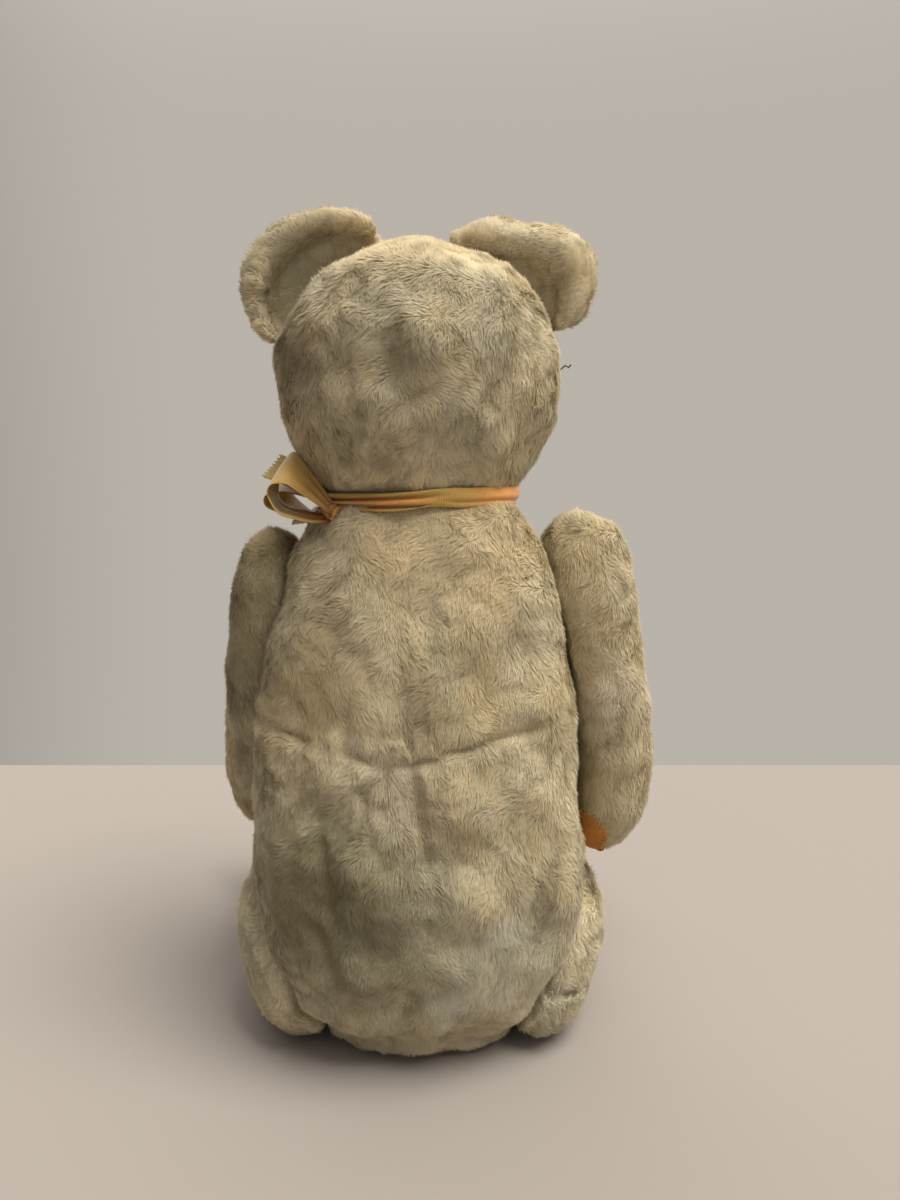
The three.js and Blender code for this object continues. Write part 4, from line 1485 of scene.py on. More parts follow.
@dataclass(frozen=True)
class Flap:
    """The shape of an ear, as seen from behind, in mm along X and Z.

    Args:
        root: The line where it is sewn to the head, from its lower end up.
        rim: Its outer edge, from its lower end up.
        relief: How far its back stands out towards the viewer behind, from root to rim, in mm.
        thickness: Through both layers at the root, in mm.
        place: Where its root lies along Y, in mm.
        fold: Where it is folded, as a share of the way from root to rim. 0 is nowhere.
    """

    root: tuple[Pair, ...]
    rim: tuple[Pair, ...]
    relief: tuple[float, ...]
    thickness: float
    place: float
    fold: float = 0.0


CUPPED = Flap(
    root=((51, 275), (49, 280), (45, 286), (40, 292), (34, 297), (27, 301), (20, 306), (14, 309)),
    rim=((53, 275), (59, 278), (64, 287), (65, 297), (62, 309), (49, 320), (30, 322.5), (17, 318)),
    relief=(0.0, -4.5, -6.5, -6.5, -3.5, 4.5, 7.5, 6.0, 0.0),
    thickness=7.5,
    place=2.0,
    fold=0.56,
)
FOLDED = Flap(
    root=((-51, 281), (-51, 287), (-49, 294), (-44, 300), (-38, 305), (-31, 306), (-23, 306), (-13, 307)),
    rim=((-54, 281), (-62, 286), (-66.5, 298), (-66, 309), (-56, 316), (-40, 319), (-27, 321), (-13, 315)),
    relief=(-2.0, 2.6, 5.6, 7.0, 7.4, 6.6, 4.6, 1.6, -3.0),
    thickness=9.5,
    place=0.0,
)


@dataclass
class Ear(StuffedPart):
    """One ear: two layers of plush, turned over at the rim or folded over at the root.

    Args:
        flap: Its shape.
    """

    flap: Flap = CUPPED
    rounds: int = 4
    voxel: float = 1.1
    swell: float = 0.8
    lumps: float = 0.5
    billow: float = 0.3
    fill: float = 0.2
    nap: Nap = Nap(flow=UP, length=3.0, tuft=5.0, crown=0.0)

    @classmethod
    def on(cls, side: Side) -> Ear:
        """The ear on one side."""
        name = f"ear_{side.value}"
        return cls(
            name=name,
            body="head",
            nodes=(name,),
            covered=(name,),
            panels=(Panel(f"{name}_pile", 5.6),),
            flap=CUPPED if side is Side.LEFT else FOLDED,
            seed=7 if side is Side.LEFT else 8,
        )

    def _line(self, points: tuple[Pair, ...], count: int) -> np.ndarray:
        """A smooth line through some of the flap's points."""
        return curve_through(tuple((x, self.flap.place, z) for x, z in points), count)

    def grow(self, joints: list[dict]) -> None:
        """Builds the folded flap and grows its skin.

        Args:
            joints: Not used, since an ear has none.
        """
        flap, stations = self.flap, 30
        root, rim = self._line(flap.root, stations), self._line(flap.rim, stations)
        share = np.linspace(0, 1, 24)
        relief = np.interp(share, np.linspace(0, 1, len(flap.relief)), flap.relief)
        rounded = np.sqrt(np.clip(1 - share**4, 0, 1))
        thick = flap.thickness * rounded * (0.7 + 0.3 * np.cos(share * math.pi / 2))
        ends = np.sin(np.linspace(0.10, math.pi - 0.10, stations)) ** 0.22
        middle = np.array((0.0, flap.place, 264.0)) * MM
        inward = unit(middle - root) * 7 * MM
        back = np.array(BACK) * MM
        rings = []
        for k in range(stations):
            flat = root[k] + (rim[k] - root[k]) * share[:, None]
            behind = flat + back * (relief * ends[k])[:, None]
            before = behind - back * (thick * ends[k])[:, None]
            sunk = [behind[:1] + inward[k], behind, before[::-1], before[:1] + inward[k]]
            rings.append(np.concatenate(sunk))
        grid = np.stack(rings)
        rows, columns = grid.shape[:2]
        spots = np.arange(rows * columns).reshape(rows, columns)
        beside = np.roll(spots, -1, axis=1)
        quads = np.stack([spots[:-1], beside[:-1], beside[1:], spots[1:]], -1).reshape(-1, 4)
        caps = [tuple(spots[0][::-1]), tuple(spots[-1])]
        mesh = bpy.data.meshes.new(self.name)
        mesh.from_pydata(grid.reshape(-1, 3).tolist(), [], quads.tolist() + caps)
        self.skin = remeshed(mesh, self.voxel * MM)
        self.skin.soften(self.rounds)
        self.padded = np.full(len(self.skin.points), -1.0)
        if flap.fold:
            low, high = box(self.name)
            line = root + (rim - root) * flap.fold
            chosen = line[3 : stations - 4 : 4]
            shares = tuple((share[0], share[2]) for share in (chosen - low) / (high - low))
            self.creases = (Crease(self.name, shares, 1.8, 1.6),)

    def _flow(self, points: np.ndarray) -> np.ndarray:
        """Away from the head, as an ear's pile is brushed."""
        return unit(points - np.array((0.0, self.flap.place, 270.0)) * MM)


@dataclass
class Arm(StuffedPart):
    """One arm, hanging from its disc joint."""

    nap: Nap = Nap(flow=DOWN, tuft=7.5)
    voxel: float = 1.5
    swell: float = 2.2

    @classmethod
    def on(cls, side: Side) -> Arm:
        """The arm on one side. The left one is slimmer, and the right one's felt has stretched."""
        left = side is Side.LEFT
        name, pad = f"arm_{side.value}", f"hand_pad_{side.value}"
        cover, stuffing = f"{name}_cover", f"{name}_stuffing"
        slimmed = (
            Push(Spot(cover, (1.0, 0.5, 0.55)), 55.0, (-3.2, 0.0, 0.0)),
            Push(Spot(cover, (0.9, 0.6, 0.98)), 22.0, (-3.0, 0.0, -2.0)),
        )
        return cls(
            name=name,
            body=name,
            nodes=(cover, stuffing, f"shoulder_{side.value}_arm_disc", pad),
            covered=(cover, stuffing),
            panels=(Panel(f"{name}_pile", 4.6),),
            pad=pad,
            pushes=slimmed if left else (),
            pad_more=None if left else ((1.0, 1.0, 0.40), 9.0),
            seed=11 if left else 12,
        )


@dataclass
class Leg(StuffedPart):
    """One leg, stretched out in front, with its upturned foot."""

    nap: Nap = Nap(flow=(0.0, -0.6, -0.8), tuft=8.0)
    voxel: float = 1.6
    swell: float = 2.2

    @classmethod
    def on(cls, side: Side) -> Leg:
        """The leg on one side, its thigh drawn in behind and sewn along its rear."""
        out, pad, name = side.sign, f"foot_pad_{side.value}", f"leg_{side.value}"
        cover, stuffing = f"{name}_cover", f"{name}_stuffing"
        seam = tuple((0.5 + out * (x - 0.5), z) for x, z in ((0.60, 0.62), (0.42, 0.32), (0.20, 0.06)))
        return cls(
            name=name,
            body=name,
            nodes=(cover, stuffing, f"hip_{side.value}_leg_disc", pad),
            covered=(cover, stuffing),
            panels=(Panel(f"{name}_pile", 3.1),),
            creases=(Crease(cover, seam, 2.2, 1.8, gather=0.8),),
            pad=pad,
            pushes=(
                Push(Spot(cover, (0.5 - 0.36 * out, 0.97, 0.10)), 30.0, (-6.0 * out, 6.5, -1.0)),
                Push(Spot(cover, (0.5 + 0.5 * out, 0.85, 0.50)), 26.0, (2.0 * out, 0.0, 0.0)),
                Push(Spot(cover, (0.5 + 0.5 * out, 0.96, 0.02)), 34.0, (-6.0 * out, -1.5, 2.0)),
            ),
            seed=15 if side is Side.LEFT else 16,
        )


# ---- pads


def swept(points: list[Point], radius: float, sides: int) -> tuple[list[Point], list[tuple[int, ...]]]:
    """A closed tube along some points that lie in the XZ plane.

    Args:
        points: The tube's middle line.
        radius: Its radius.
        sides: How many sides it has.

    Returns:
        Its vertices and faces.
    """
    middle = np.array(points, float)
    along = unit(np.gradient(middle, axis=0))
    beside = np.array((0.0, 1.0, 0.0))
    vertices, faces = [], []
    for place, way in zip(middle, along):
        above = np.cross(way, beside)
        for k in range(sides):
            angle = 2 * math.pi * k / sides
            vertices.append(tuple(place + radius * (math.cos(angle) * beside + math.sin(angle) * above)))
    for row in range(len(middle) - 1):
        for k in range(sides):
            a, b = row * sides + k, row * sides + (k + 1) % sides
            faces.append((a, b, b + sides, a + sides))
    faces.append(tuple(reversed(range(sides))))
    faces.append(tuple(range(len(vertices) - sides, len(vertices))))
    return vertices, faces


def stitch_object() -> bpy.types.Object:
    """One overcast stitch, a unit long, arched over an edge that it crosses along X."""
    mesh = bpy.data.meshes.new("stitch")
    arch = [(-0.62, 0, -0.24), (-0.42, 0, 0.06), (0.0, 0, 0.2), (0.42, 0, 0.06), (0.62, 0, -0.24)]
    vertices, faces = swept(arch, 0.13, 5)
    mesh.from_pydata(vertices, [], faces)
    mesh.shade_smooth()
    return bpy.data.objects.new("stitch", mesh)


@dataclass
class FeltPad:
    """A felt pad over the end of a limb, its edge oversewn.

    Args:
        part: The stuffed part whose skin it lies on.
        flat: Its width and length before it was sewn on, in metres. Not used.
        area: Its flat area, in square metres. Not used.
        stand: How far it stands off the skin, in mm.
        thickness: Of the felt, in mm.
        spacing: Between stitches, in mm.
        stitch_length: Of one stitch, in mm.
        curl: How far its free edge has curled out, in mm.
    """

    part: StuffedPart
    flat: Pair
    area: float
    stand: float = 1.0
    thickness: float = 1.1
    spacing: float = 2.8
    stitch_length: float = 2.4
    curl: float = 0.0

    def build(self, finish: bpy.types.Material, tree: StitchTree, stitch: bpy.types.Object) -> None:
        """Makes the pad and its stitches.

        Args:
            finish: The felt.
            tree: The tree that sews the stitches.
            stitch: One stitch.
        """
        skin = self.part.skin
        share = (self.part.padded[skin.quads] > 0).sum(axis=1)
        cloth, _used = skin.part(share >= 3)
        label = islands(cloth.quads, len(cloth.points))
        cloth, _used = cloth.part(label[cloth.quads[:, 0]] == np.bincount(label).argmax())
        rim = self._rim(cloth)
        self._even(cloth, rim)
        normals = cloth.normals
        middle = cloth.points.mean(axis=0)
        cloth.points = cloth.points + normals * self.stand * MM
        low = step(0.0, 1.0, 1 - (cloth.points[:, 2] - cloth.points[:, 2].min()) / (7 * MM))
        cloth.points += normals * (self.curl * MM * low)[:, None]
        name = self.part.pad
        pad = add_object(f"{name}_felt", cloth.mesh(f"{name}_felt"), finish)
        fine = pad.modifiers.new("fine", "SUBSURF")
        fine.levels = fine.render_levels = 1
        thick = pad.modifiers.new("thick", "SOLIDIFY")
        thick.thickness = self.thickness * MM
        thick.offset = -0.4
        settle(pad)
        pad.data.shade_smooth()
        pad.data.materials.clear()
        pad.data.materials.append(finish)
        join(pad, Slot.FELT, self.part.body, name)
        ends = np.unique(rim.ravel())
        order = np.full(len(cloth.points), -1)
        order[ends] = np.arange(len(ends))
        mesh = bpy.data.meshes.new(f"{name}_stitches")
        mesh.from_pydata((cloth.points[ends] + 0.2 * MM * normals[ends]).tolist(), order[rim].tolist(), [])
        row = add_object(f"{name}_stitches", mesh)
        pin(row.data, "up", normals[ends])
        pin(row.data, "inward", unit(middle - cloth.points[ends]))
        values = {
            "Stitch": stitch,
            "Spacing": self.spacing * MM,
            "Size": self.stitch_length * MM,
            "Seed": 4,
            "Finish": finish,
        }
        tree.grow(row, values)
        join(row, Slot.FELT, self.part.body)
        log.info("%s: %.6f m2 of felt", name, sum(face.area for face in pad.data.polygons) / 2)

    def _rim(self, cloth: Cloth) -> np.ndarray:
        """The edges of the cloth that only one face has."""
        ends = np.concatenate([cloth.quads[:, [k, (k + 1) % 4]] for k in range(4)])
        edges, count = np.unique(np.sort(ends, axis=1), axis=0, return_counts=True)
        return edges[count == 1]

    def _even(self, cloth: Cloth, rim: np.ndarray) -> None:
        """Smooths the rim's steps away, and the cloth inside it after it.

        Args:
            cloth: The pad's cloth.
            rim: Its outer edges.
        """
        count = len(cloth.points)
        on_rim = np.bincount(rim.ravel(), minlength=count)[:, None] > 0
        for edges, moved, rounds in ((rim, on_rim, 14), (cloth.edges, ~on_rim, 12)):
            degree = np.maximum(np.bincount(edges.ravel(), minlength=count), 1)[:, None]
            for _ in range(rounds):
                around = totals(cloth.points[edges[:, 1]], edges[:, 0], count)
                around += totals(cloth.points[edges[:, 0]], edges[:, 1], count)
                cloth.points = np.where(moved, (cloth.points + around / degree) / 2, cloth.points)


# ---- face


AHEAD = -0.3  # a place along Y that is well in front of the bear


@dataclass
class Face:
    """The eyes, the nose and the mouth.

    Args:
        head: The head that they are on.
        eye_radius: Of a bead, in mm.
        gaze: The way the left eye looks.
        nose_threads: How many satin stitches make the nose.
        nose_radius: Of each of them, in mm.
        mouth_radius: Of the mouth's threads, in mm.
    """

    head: Head
    eye_radius: float = 5.2
    gaze: Point = (0.34, -1.0, 0.12)
    nose_threads: int = 17
    nose_radius: float = 0.68
    mouth_radius: float = 0.75
    surface: BVHTree = field(init=False)

    def build(self, floss: bpy.types.Material, tree: ThreadTree) -> None:
        """Makes every piece of the face.

        Args:
            floss: The thread of the nose and mouth.
            tree: The tree that makes threads of lines.
        """
        self.surface = self.head.skin.tree()
        for side in Side:
            self._eye(side)
        self._sew("nose_stitching", "nose_satin", self._nose_lines(), self.nose_radius, floss, tree)
        self._sew("mouth_stitching", "mouth_threads", self._mouth_lines(), self.mouth_radius, floss, tree)

    def _eye(self, side: Side) -> None:
        """One bead of glass.

        Args:
            side: Which eye.
        """
        node = f"eye_{side.value}"
        low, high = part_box(node)
        radius = self.eye_radius * MM
        outer = high[0] - radius if side is Side.LEFT else low[0] + radius
        middle = np.array((outer, low[1] + radius, (low[2] + high[2]) / 2))
        outward = np.array((side.sign * self.gaze[0], self.gaze[1], self.gaze[2]))
        outward /= np.linalg.norm(outward)
        middle = middle + outward * 1.6 * MM
        work = bmesh.new()
        bmesh.ops.create_uvsphere(
            work, u_segments=40, v_segments=24, radius=radius, matrix=Matrix.Translation(middle)
        )
        mesh = bpy.data.meshes.new(f"{node}_glass")
        work.to_mesh(mesh)
        work.free()
        bead = add_object(f"{node}_glass", mesh, GlassFinish().material(middle, outward, radius))
        join(bead, Slot.GLASS, "head", node)

    def _on_front(self, across: float, height: float) -> np.ndarray:
        """Where a line from the front meets the head's skin, in metres."""
        found = self.surface.ray_cast(Vector((across, AHEAD, height)), Vector(BACK))
        return np.array(found[0])

    def _nose_lines(self) -> list[np.ndarray]:
        """Upright satin stitches side by side in a rounded triangle."""
        low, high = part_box("nose_stitching")
        middle, half = (low[0] + high[0]) / 2, (high[0] - low[0]) / 2
        lines = []
        for share in np.linspace(-1, 1, self.nose_threads):
            across = middle + share * half
            top = high[2] - 0.8 * MM - 1.6 * MM * share * share
            foot = low[2] + (high[2] - low[2]) * (0.02 + 0.62 * abs(share) ** 1.5)
            heights = np.linspace(top, foot, 9)
            line = np.array([self._on_front(across, height) for height in heights])
            proud = np.sin(np.linspace(0, math.pi, 9)) ** 0.4
            line[:, 1] -= (0.2 + 1.3 * proud) * MM
            lines.append(line)
        return lines

    def _mouth_lines(self) -> list[np.ndarray]:
        """A line down from the nose, and a curve up to each side from its foot."""
        low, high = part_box("mouth_stitching")
        fork = low[2] + 0.42 * (high[2] - low[2])
        lines = [[(0.0, high[2] - 0.3 * MM + (fork - high[2]) * t) for t in np.linspace(0, 1, 7)]]
        for sign in (-1, 1):
            ends = np.linspace(0, 1, 9)
            rise = low[2] + 1.2 * MM + (fork - low[2]) * (1 - np.sin(ends * math.pi * 0.62)) * 0.9
            lines.append(list(zip(sign * ends * high[0] * 1.12, rise)))
        made = []
        for line in lines:
            points = np.array([self._on_front(across, height) for across, height in line])
            points[:, 1] -= 0.55 * MM
            made.append(points)
        return made

    def _sew(
        self,
        node: str,
        name: str,
        lines: list[np.ndarray],
        radius: float,
        floss: bpy.types.Material,
        tree: ThreadTree,
    ) -> None:
        """Makes one piece of threads that stands for a CAD node."""
        piece = lines_object(name, lines)
        tree.grow(piece, {"Radius": radius * MM, "Sides": 8, "Finish": floss})
        piece.data.shade_smooth()
        join(piece, Slot.FLOSS, "head", node)


@dataclass
class StrayThread:
    """The end of a dark thread that has worked out of the head's side seam.

    Args:
        root: Where it comes out, as a share of the head's box.
        steps: Its bends, in mm from there.
        radius: Its radius, in mm.
        colour: Its colour.
    """

    root: Point = (0.02, 0.62, 0.52)
    steps: tuple[Point, ...] = (
        (0.8, 0, 0), (-1.6, 0.3, 0.8), (-3.2, 0.2, 2.2), (-4.4, 0.8, 1.4), (-5.2, 1.0, 2.4)
    )
    radius: float = 0.32
    colour: Colour = (0.24, 0.09, 0.06)

    def build(self, head: Head, tree: ThreadTree) -> None:
        """Makes the thread's end, standing out of the plush.

        Args:
            head: The head that it sticks out of.
            tree: The tree that makes threads of lines.
        """
        start, _way, _face, _far = head.skin.tree().find_nearest(Spot("head_cover", self.root).point())
        line = np.array([tuple(start + Vector(bend) * MM) for bend in self.steps])
        cotton = Shader("stray_thread", 0.7).finish(linear(self.colour))
        piece = lines_object("stray_thread", [line])
        tree.grow(piece, {"Radius": self.radius * MM, "Sides": 6, "Finish": cotton})
        join(piece, Slot.FLOSS, "head")


# ---- bow


@dataclass(frozen=True)
class Run:
    """A run of ribbon between two edges that are given in mm.

    Args:
        near: The edge nearer to the bear's back.
        far: The other edge.
        fade: How far it has gone from orange to gold.
        pinked: Whether it ends in a row of teeth.
        stations: How many cross sections it has.
    """

    near: tuple[Point, ...]
    far: tuple[Point, ...]
    fade: float
    pinked: bool = False
    stations: int = 44


@dataclass
class Bow:
    """The ribbon: a crumpled band round the neck, a knot, two loops and two pinked tails.

    Args:
        width: Of the ribbon, in mm.
        columns: Faces across it.
        thickness: Of the cloth, in mm.
        radius: Of the band across and along the neck, in mm.
        foot: Height of the band's lower edge behind, in mm.
        height: Of the crumpled band, in mm.
        length: Of the ribbon before it was tied, in metres. Not used.
        tuck: The share of the band's width that is turned under.
        pleats: Pleats across a loop or a tail where it goes into the knot.
        gathered: How far the pleats reach, as a share of the loop's or tail's length.
        tooth: Depth of the pinked edge, in mm.
        knot: The knot's middle, in mm.
        runs: The loops and the tails.
    """

    width: float = 17.0
    columns: int = 16
    thickness: float = 0.22
    radius: Pair = (37.6, 34.4)
    foot: float = 213.4
    height: float = 7.2
    length: float = 0.34
    tuck: float = 0.28
    pleats: float = 5.2
    gathered: float = 0.12
    tooth: float = 1.5
    knot: Point = (29.5, 22.5, 211.0)
    runs: tuple[Run, ...] = (
        Run(
            near=(
                (30, 27, 210.4), (35.5, 29, 214.8), (42, 30, 219.3), (46, 30.5, 221.8), (51, 29.5, 221.7),
                (53, 28, 219.2), (52.2, 28, 216), (49, 28, 211.2), (42.5, 28, 209.2), (36.5, 27, 208),
                (30.7, 25, 208),
            ),
            far=(
                (29, 22, 213.3), (34.8, 20, 221.2), (40.2, 17, 228.6), (45, 14, 233.6), (48, 13, 232.6),
                (50.3, 12.5, 228.6), (51.5, 12.5, 222.8), (51.5, 13, 217.4), (47.8, 15, 214),
                (42, 17, 212.6), (32.3, 20, 210.2),
            ),
            fade=0.75,
        ),
        Run(
            near=((31, 22, 213), (40, 19, 217), (50, 14, 219), (58, 6, 218), (59, 2, 214), (52, 8, 211.2),
                  (42, 14, 209), (32, 19, 209)),
            far=((30, 18, 214), (36, 6, 226), (44, -3, 229), (51, -10, 227), (52, -12, 221), (46, -5, 215),
                 (38, 4, 211), (30, 17, 211)),
            fade=0.5,
        ),
        Run(
            near=((30.4, 20, 209.6), (40.5, 16, 217), (49.6, 13, 221.8), (57.7, 10, 224.7)),
            far=((29.7, 18, 213.2), (39.5, 11, 224), (46.3, 6, 230.2), (52, 2, 233.4)),
            fade=0.6,
            pinked=True,
            stations=26,
        ),
        Run(
            near=((31, 19, 210), (42, 8, 209.6), (49, -4, 208.6), (52, -15, 206.5)),
            far=((31, 17, 212), (35, 0, 216), (39, -14, 214), (40, -26, 209)),
            fade=0.65,
            pinked=True,
            stations=26,
        ),
    )
    points: list[np.ndarray] = field(default_factory=list, init=False)
    quads: list[np.ndarray] = field(default_factory=list, init=False)
    own: list[np.ndarray] = field(default_factory=list, init=False)
    fades: list[np.ndarray] = field(default_factory=list, init=False)
    fold_shades: list[np.ndarray] = field(default_factory=list, init=False)
    count: int = field(default=0, init=False)

    def build(self, finish: bpy.types.Material) -> None:
        """Makes the ribbon as one piece.

        Args:
            finish: The taffeta.
        """
        self._band()
        self._knot()
        for run in self.runs:
            self._run(run)
        cloth = Cloth(np.concatenate(self.points), np.concatenate(self.quads))
        bow = add_object("neck_bow", cloth.mesh("neck_bow"), finish)
        own = np.concatenate(self.own)
        layer = bow.data.uv_layers.new(name="Ribbon")
        corners = numbers(bow.data.loops, "vertex_index", 1, int)
        layer.data.foreach_set("uv", own[corners].astype(np.float32).ravel())
        pin(bow.data, "fade", np.concatenate(self.fades))
        pin(bow.data, "fold", np.concatenate(self.fold_shades))
        thick = bow.modifiers.new("thick", "SOLIDIFY")
        thick.thickness = self.thickness * MM
        thick.offset = 0
        area = sum(face.area for face in bow.data.polygons)
        log.info("ribbon: %.6f m2, %.3f m long", area, area / (self.width * MM))
        settle(bow)
        join(bow, Slot.RIBBON, "torso", "neck_ribbon")

    def _add(self, grid: np.ndarray, fade: np.ndarray, fold: np.ndarray, closed: bool = False) -> None:
        """Adds a grid of stations by columns to the ribbon's mesh.

        Args:
            grid: Its points.
            fade: How far each point has gone from orange to gold.
            fold: How much painted shade each point gets in its fold.
            closed: Whether the last station joins the first.
        """
        rows, columns = grid.shape[:2]
        spots = np.arange(rows * columns).reshape(rows, columns) + self.count
        after = np.roll(spots, -1, axis=0) if closed else spots[1:]
        before = spots if closed else spots[:-1]
        quads = np.stack([before[:, :-1], after[:, :-1], after[:, 1:], before[:, 1:]], -1)
        middle = grid[:, columns // 2]
        along = np.cumsum(np.linalg.norm(np.diff(middle, axis=0, prepend=middle[:1]), axis=1))
        across = np.linspace(0, self.width * MM, columns)
        self.points.append(grid.reshape(-1, 3))
        self.quads.append(quads.reshape(-1, 4))
        self.own.append(np.stack(np.broadcast_arrays(along[:, None], across[None, :]), -1).reshape(-1, 2))
        self.fades.append(np.broadcast_to(fade, (rows, columns)).ravel())
        self.fold_shades.append(np.broadcast_to(fold, (rows, columns)).ravel())
        self.count += rows * columns

    def _run(self, run: Run) -> None:
        """A loop or a tail, pleated where it goes into the knot.

        Args:
            run: Its edges.
        """
        near, far = curve_through(run.near, run.stations), curve_through(run.far, run.stations)
        share = np.linspace(0, 1, self.columns + 1)
        grid = near[:, None] + (far - near)[:, None] * share[None, :, None]
        along = np.linspace(0, 1, run.stations)
        gather = np.exp(-along / self.gathered)
        if not run.pinked:
            gather = gather + np.exp(-(1 - along) / self.gathered)
        gather = np.clip(gather, 0, 1)
        tangent = np.gradient(grid, axis=0)
        normal = np.cross(tangent, np.broadcast_to((far - near)[:, None], grid.shape))
        normal /= np.maximum(np.linalg.norm(normal, axis=2), 1e-9)[:, :, None]
        pleat = np.sin(share * self.pleats * math.pi)[None, :] * gather[:, None] * 0.9
        soft = np.sin(share * math.pi)[None, :] * np.sin(along * 7.0 + run.fade)[:, None] * 0.45
        grid = grid + normal * ((pleat + soft) * MM)[:, :, None]
        if run.pinked:
            out = tangent[-1] / np.linalg.norm(tangent[-1], axis=1)[:, None]
            grid[-1] += out * (np.arange(self.columns + 1) % 2)[:, None] * self.tooth * MM
        # Painted shade: darker where the pleats gather into the knot, banded across the pleats.
        valleys = np.cos(share * self.pleats * math.pi)[None, :]
        fold = 0.9 * gather[:, None] + 0.25 * valleys * gather[:, None]
        self._add(grid, np.full((run.stations, 1), run.fade), np.clip(fold, 0, 1))

    def _band(self) -> None:
        """The band: three soft pleats near the knot that open into one broad face."""
        stations = 150
        start = math.atan2(self.knot[1] / self.radius[1], self.knot[0] / self.radius[0])
        turn = start + np.linspace(0, 2 * math.pi, stations, endpoint=False)
        share = np.linspace(0, 1, self.columns + 1)
        near_knot = 0.5 + 0.5 * np.cos(turn - start - 0.25)
        pleated = step(0.74, 0.97, near_knot)[:, None]
        waves = 1.35 * np.sin(share[None, :] * 5 * math.pi + 0.5 * np.sin(2 * turn)[:, None])
        height_a = share[None, :] + 0.05 * np.sin(3 * turn)[:, None] * np.sin(share * 2 * math.pi)[None, :]
        tucked = share[None, :] < self.tuck
        under = np.clip(share / self.tuck, 0, 1)[None, :]
        over = np.clip((share - self.tuck) / (1 - self.tuck), 0, 1)[None, :]
        height_b = np.where(tucked, 0.62 * (1 - under), over)
        crease = np.exp(-(((over - 0.25 - 0.10 * np.sin(turn)[:, None]) / 0.09) ** 2))
        out_b = np.where(tucked, -0.9, 0.9 * np.sin(over * math.pi) - 0.9 * crease)
        out = waves * pleated + out_b * (1 - pleated)
        high = height_a * pleated + height_b * (1 - pleated)
        tall = self.height * (1 - 0.10 * step(0.8, 1.0, near_knot))[:, None]
        lean = 0.6 * np.cos(turn)[:, None]
        foot = self.foot - 1.4 * step(0.75, 1.0, near_knot)[:, None]
        foot = foot + 1.2 * step(0.4, 1.0, -np.cos(turn))[:, None]
        flare = 1.4 * (high - 0.4)
        x = (self.radius[0] + out + flare) * np.cos(turn)[:, None]
        y = (self.radius[1] + out + flare) * np.sin(turn)[:, None]
        z = foot + lean * 0.4 + tall * high
        grid = np.stack(np.broadcast_arrays(x, y, z), -1) * MM
        fade = (0.42 * step(0.45, 0.8, near_knot))[:, None] + 0.25 * np.sin(share * 9)[None, :] * pleated
        # Painted shade in the pleats' valleys, along the broad face's crease and where the band goes into
        # the knot.
        fold = np.clip(0.14 - 0.24 * waves, 0, 1) * pleated + 0.35 * crease * (1 - pleated)
        fold = fold + 0.35 * step(0.96, 1.0, near_knot)[:, None]
        self._add(grid, np.clip(fade, 0, 1), np.clip(fold, 0, 1), closed=True)

    def _knot(self) -> None:
        """The knot: a short wrap of ribbon round the roots of the loops."""
        stations = 28
        turn = np.linspace(0, 2 * math.pi, stations, endpoint=False)
        share = np.linspace(-1, 1, self.columns + 1)
        axis, up = np.array((0.78, -0.42, 0.42)), np.array((0.3, 0.82, 0.49))
        axis = axis / np.linalg.norm(axis)
        aside = np.cross(axis, up)
        aside /= np.linalg.norm(aside)
        up = np.cross(aside, axis)
        bulge = 3.7 - 1.1 * share[None, :] ** 2 + 0.35 * np.sin(share * 9)[None, :]
        bulge = bulge + 0.3 * np.sin(3 * turn)[:, None]
        ring = np.cos(turn)[:, None, None] * aside * 0.8 + np.sin(turn)[:, None, None] * up * 1.15
        grid = np.array(self.knot) + ring * bulge[:, :, None] + axis * (share * 3.6)[None, :, None]
        # Painted shade banded across the knot's wrap.
        fold = 0.35 + 0.4 * np.cos(share * 9)[None, :]
        self._add(grid * MM, np.full((stations, 1), 0.3), np.clip(fold, 0, 1), closed=True)


# ---- hardware


@dataclass(frozen=True)
class Hardware:
    """The discs, washers and split pins inside the joints, which keep their CAD shapes."""

    def dress(self, nodes: dict[str, bpy.types.Object]) -> None:
        """Gives each of them its finish.

        Args:
            nodes: The frame's nodes by name.
        """
        finishes = {
            "_disc": (Slot.BOARD, BoardFinish().material()),
            "_washer": (Slot.STEEL, SteelFinish().material()),
            "_split_pin": (Slot.STEEL, SteelFinish().material()),
        }
        for name, node in nodes.items():
            for ending, (slot, finish) in finishes.items():
                if name.endswith(ending):
                    node.data.materials.clear()
                    node.data.materials.append(finish)


# ---- studio


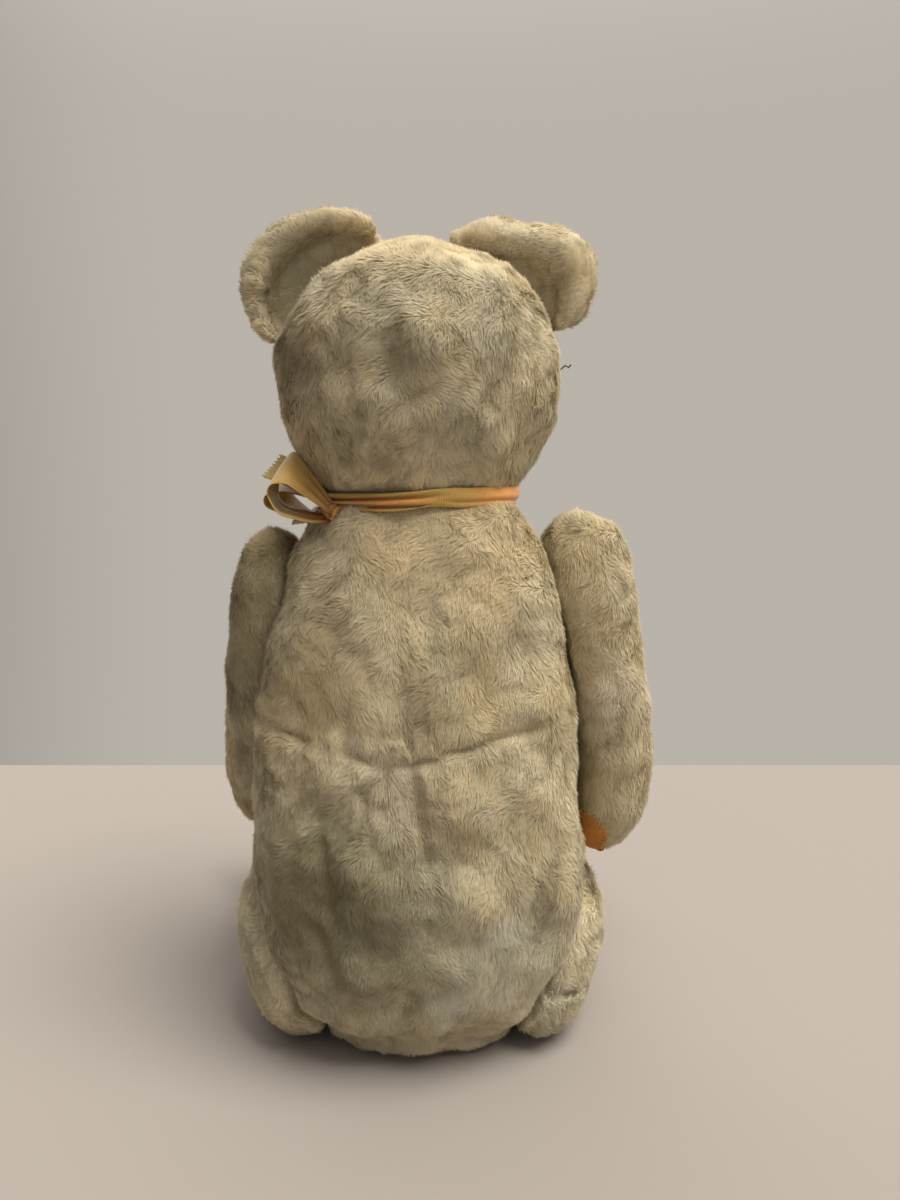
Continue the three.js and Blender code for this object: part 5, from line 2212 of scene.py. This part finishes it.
@dataclass
class Studio:
    """A pale plain floor, a soft high key from behind and to the right, and a dim grey room.

    Args:
        ground: The floor's colour.
        room: The room's colour.
        room_strength: Its brightness.
        room_sides: Along an axis, from where to where the room's brightness changes, and by what factor.
        far_edge: Where the floor ends behind the bear, along Y.
        key_way: Where the key light comes from.
        key_strength: Its strength.
        fill_way: Where the weak light on the bear's front comes from.
        fill_strength: Its strength.
        spreads: How wide the key and the front light look, in degrees.
        warmths: The key's colour and the front light's.
        lens: The camera's focal length, in mm.
        eye: The camera's place.
        pitch: How far it looks down, in degrees.
    """

    ground: Colour = (0.60, 0.575, 0.56)
    room: Colour = (0.725, 0.700, 0.665)
    room_strength: float = 1.0
    key_way: Point = (-0.45, 0.36, 1.05)
    key_strength: float = 3.5
    fill_way: Point = (0.35, -0.85, 0.45)
    fill_strength: float = 0.7
    spreads: Pair = (35.0, 60.0)
    warmths: tuple[Colour, Colour] = ((1.0, 0.95, 0.86), (1.0, 0.96, 0.90))
    room_sides: tuple[tuple[str, float, float, float], ...] = (
        ("X", 0.25, 0.90, 0.15),
        ("X", -0.45, -0.95, 1.5),
        ("Y", 0.30, 0.90, 0.90),
        ("Z", 0.35, 1.00, 2.3),
    )
    far_edge: float = -0.37
    lens: float = 27.0
    eye: Point = (-0.012, 0.350, 0.216)
    pitch: float = 6.3

    def build(self) -> None:
        """Makes the floor, the lights, the world and the camera."""
        scene = bpy.context.scene
        scene.view_settings.view_transform = "Standard"
        self._floor()
        self._sun("key", self.key_way, self.key_strength, self.spreads[0], self.warmths[0])
        self._sun("front_fill", self.fill_way, self.fill_strength, self.spreads[1], self.warmths[1])
        self._room()
        camera = bpy.data.objects.new("camera", bpy.data.cameras.new("camera"))
        scene.collection.objects.link(camera)
        camera.data.lens = self.lens
        camera.data.clip_start = 0.01
        camera.location = self.eye
        camera.rotation_euler = (math.radians(90 - self.pitch), 0, math.pi)
        scene.camera = camera

    def _room(self) -> None:
        """A room that is plain to look at, brighter to the bear's right and above than to its left."""
        world = bpy.data.worlds.new("room")
        bpy.context.scene.world = world
        world.use_nodes = True
        tree = world.node_tree
        back = tree.nodes["Background"]
        back.inputs["Color"].default_value = linear(self.room)
        way = tree.nodes.new("ShaderNodeSeparateXYZ")
        tree.links.new(tree.nodes.new("ShaderNodeTexCoord").outputs["Generated"], way.inputs[0])
        strength: object = self.room_strength
        for axis, low, high, factor in self.room_sides:
            share = tree.nodes.new("ShaderNodeMapRange")
            share.interpolation_type = "SMOOTHSTEP"
            tree.links.new(way.outputs[axis], share.inputs["Value"])
            for key, value in (("From Min", low), ("From Max", high), ("To Min", 1.0), ("To Max", factor)):
                share.inputs[key].default_value = value
            product = tree.nodes.new("ShaderNodeMath")
            product.operation = "MULTIPLY"
            tree.links.new(share.outputs["Result"], product.inputs[0])
            if isinstance(strength, float):
                product.inputs[1].default_value = strength
            else:
                tree.links.new(strength, product.inputs[1])
            strength = product.outputs[0]
        tree.links.new(strength, back.inputs["Strength"])

    def _floor(self) -> None:
        """The floor, far larger than the bear."""
        mesh = bpy.data.meshes.new("floor")
        half, far = 3.0, self.far_edge
        corners = [(-half, far, 0), (half, far, 0), (half, half, 0), (-half, half, 0)]
        mesh.from_pydata(corners, [], [(0, 1, 2, 3)])
        shader = Shader("floor", 0.95)
        add_object("floor", mesh, shader.finish(linear(self.ground)))

    def _sun(self, name: str, way: Point, strength: float, spread: float, colour: Colour) -> None:
        """A soft distant light that comes from one way.

        Args:
            name: The light's name.
            way: Where it comes from.
            strength: Its strength.
            spread: How wide it looks, in degrees.
            colour: Its colour.
        """
        lamp = bpy.data.lights.new(name, "SUN")
        lamp.energy = strength
        lamp.angle = math.radians(spread)
        lamp.color = colour
        made = bpy.data.objects.new(name, lamp)
        made.rotation_euler = (-Vector(way)).to_track_quat("-Z", "Y").to_euler()
        bpy.context.scene.collection.objects.link(made)


def main() -> None:
    """Builds and dresses the bear."""
    logging.basicConfig(level=logging.INFO, format="%(name)s: %(message)s")
    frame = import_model()
    sides = (Side.LEFT, Side.RIGHT)
    parts: list[StuffedPart] = [Torso(), Head()]
    for kind in (Ear, Arm, Leg):
        parts += [kind.on(side) for side in sides]
    for part in parts:
        part.grow(frame["joints"])
        log.info("%s: %d faces", part.name, len(part.skin.quads))
    for part in parts:
        part.shape(part.clearance(parts))
    for part in parts:
        part.gap = part.clearance(parts)
    cloths = {weave: PlushFinish().material(weave) for weave in Weave}
    tree, strand = PileTree(), strand_object()
    for part in parts:
        part.dress(tree, strand, cloths)
    bpy.data.objects.remove(strand)
    felt, sewing, stitch = FeltFinish().material(), StitchTree(), stitch_object()
    by_name = {part.name: part for part in parts}
    for side in sides:
        FeltPad(by_name[f"arm_{side.value}"], (0.030, 0.032), 0.00076, curl=1.2).build(felt, sewing, stitch)
        FeltPad(by_name[f"leg_{side.value}"], (0.034, 0.062), 0.0016).build(felt, sewing, stitch)
    bpy.data.objects.remove(stitch)
    threads = ThreadTree()
    Face(by_name["head"]).build(FlossFinish().material(), threads)
    StrayThread().build(by_name["head"], threads)
    Bow().build(RibbonFinish().material())
    Hardware().dress(frame["nodes"])
    Studio().build()


if __name__ == "__main__":
    main()
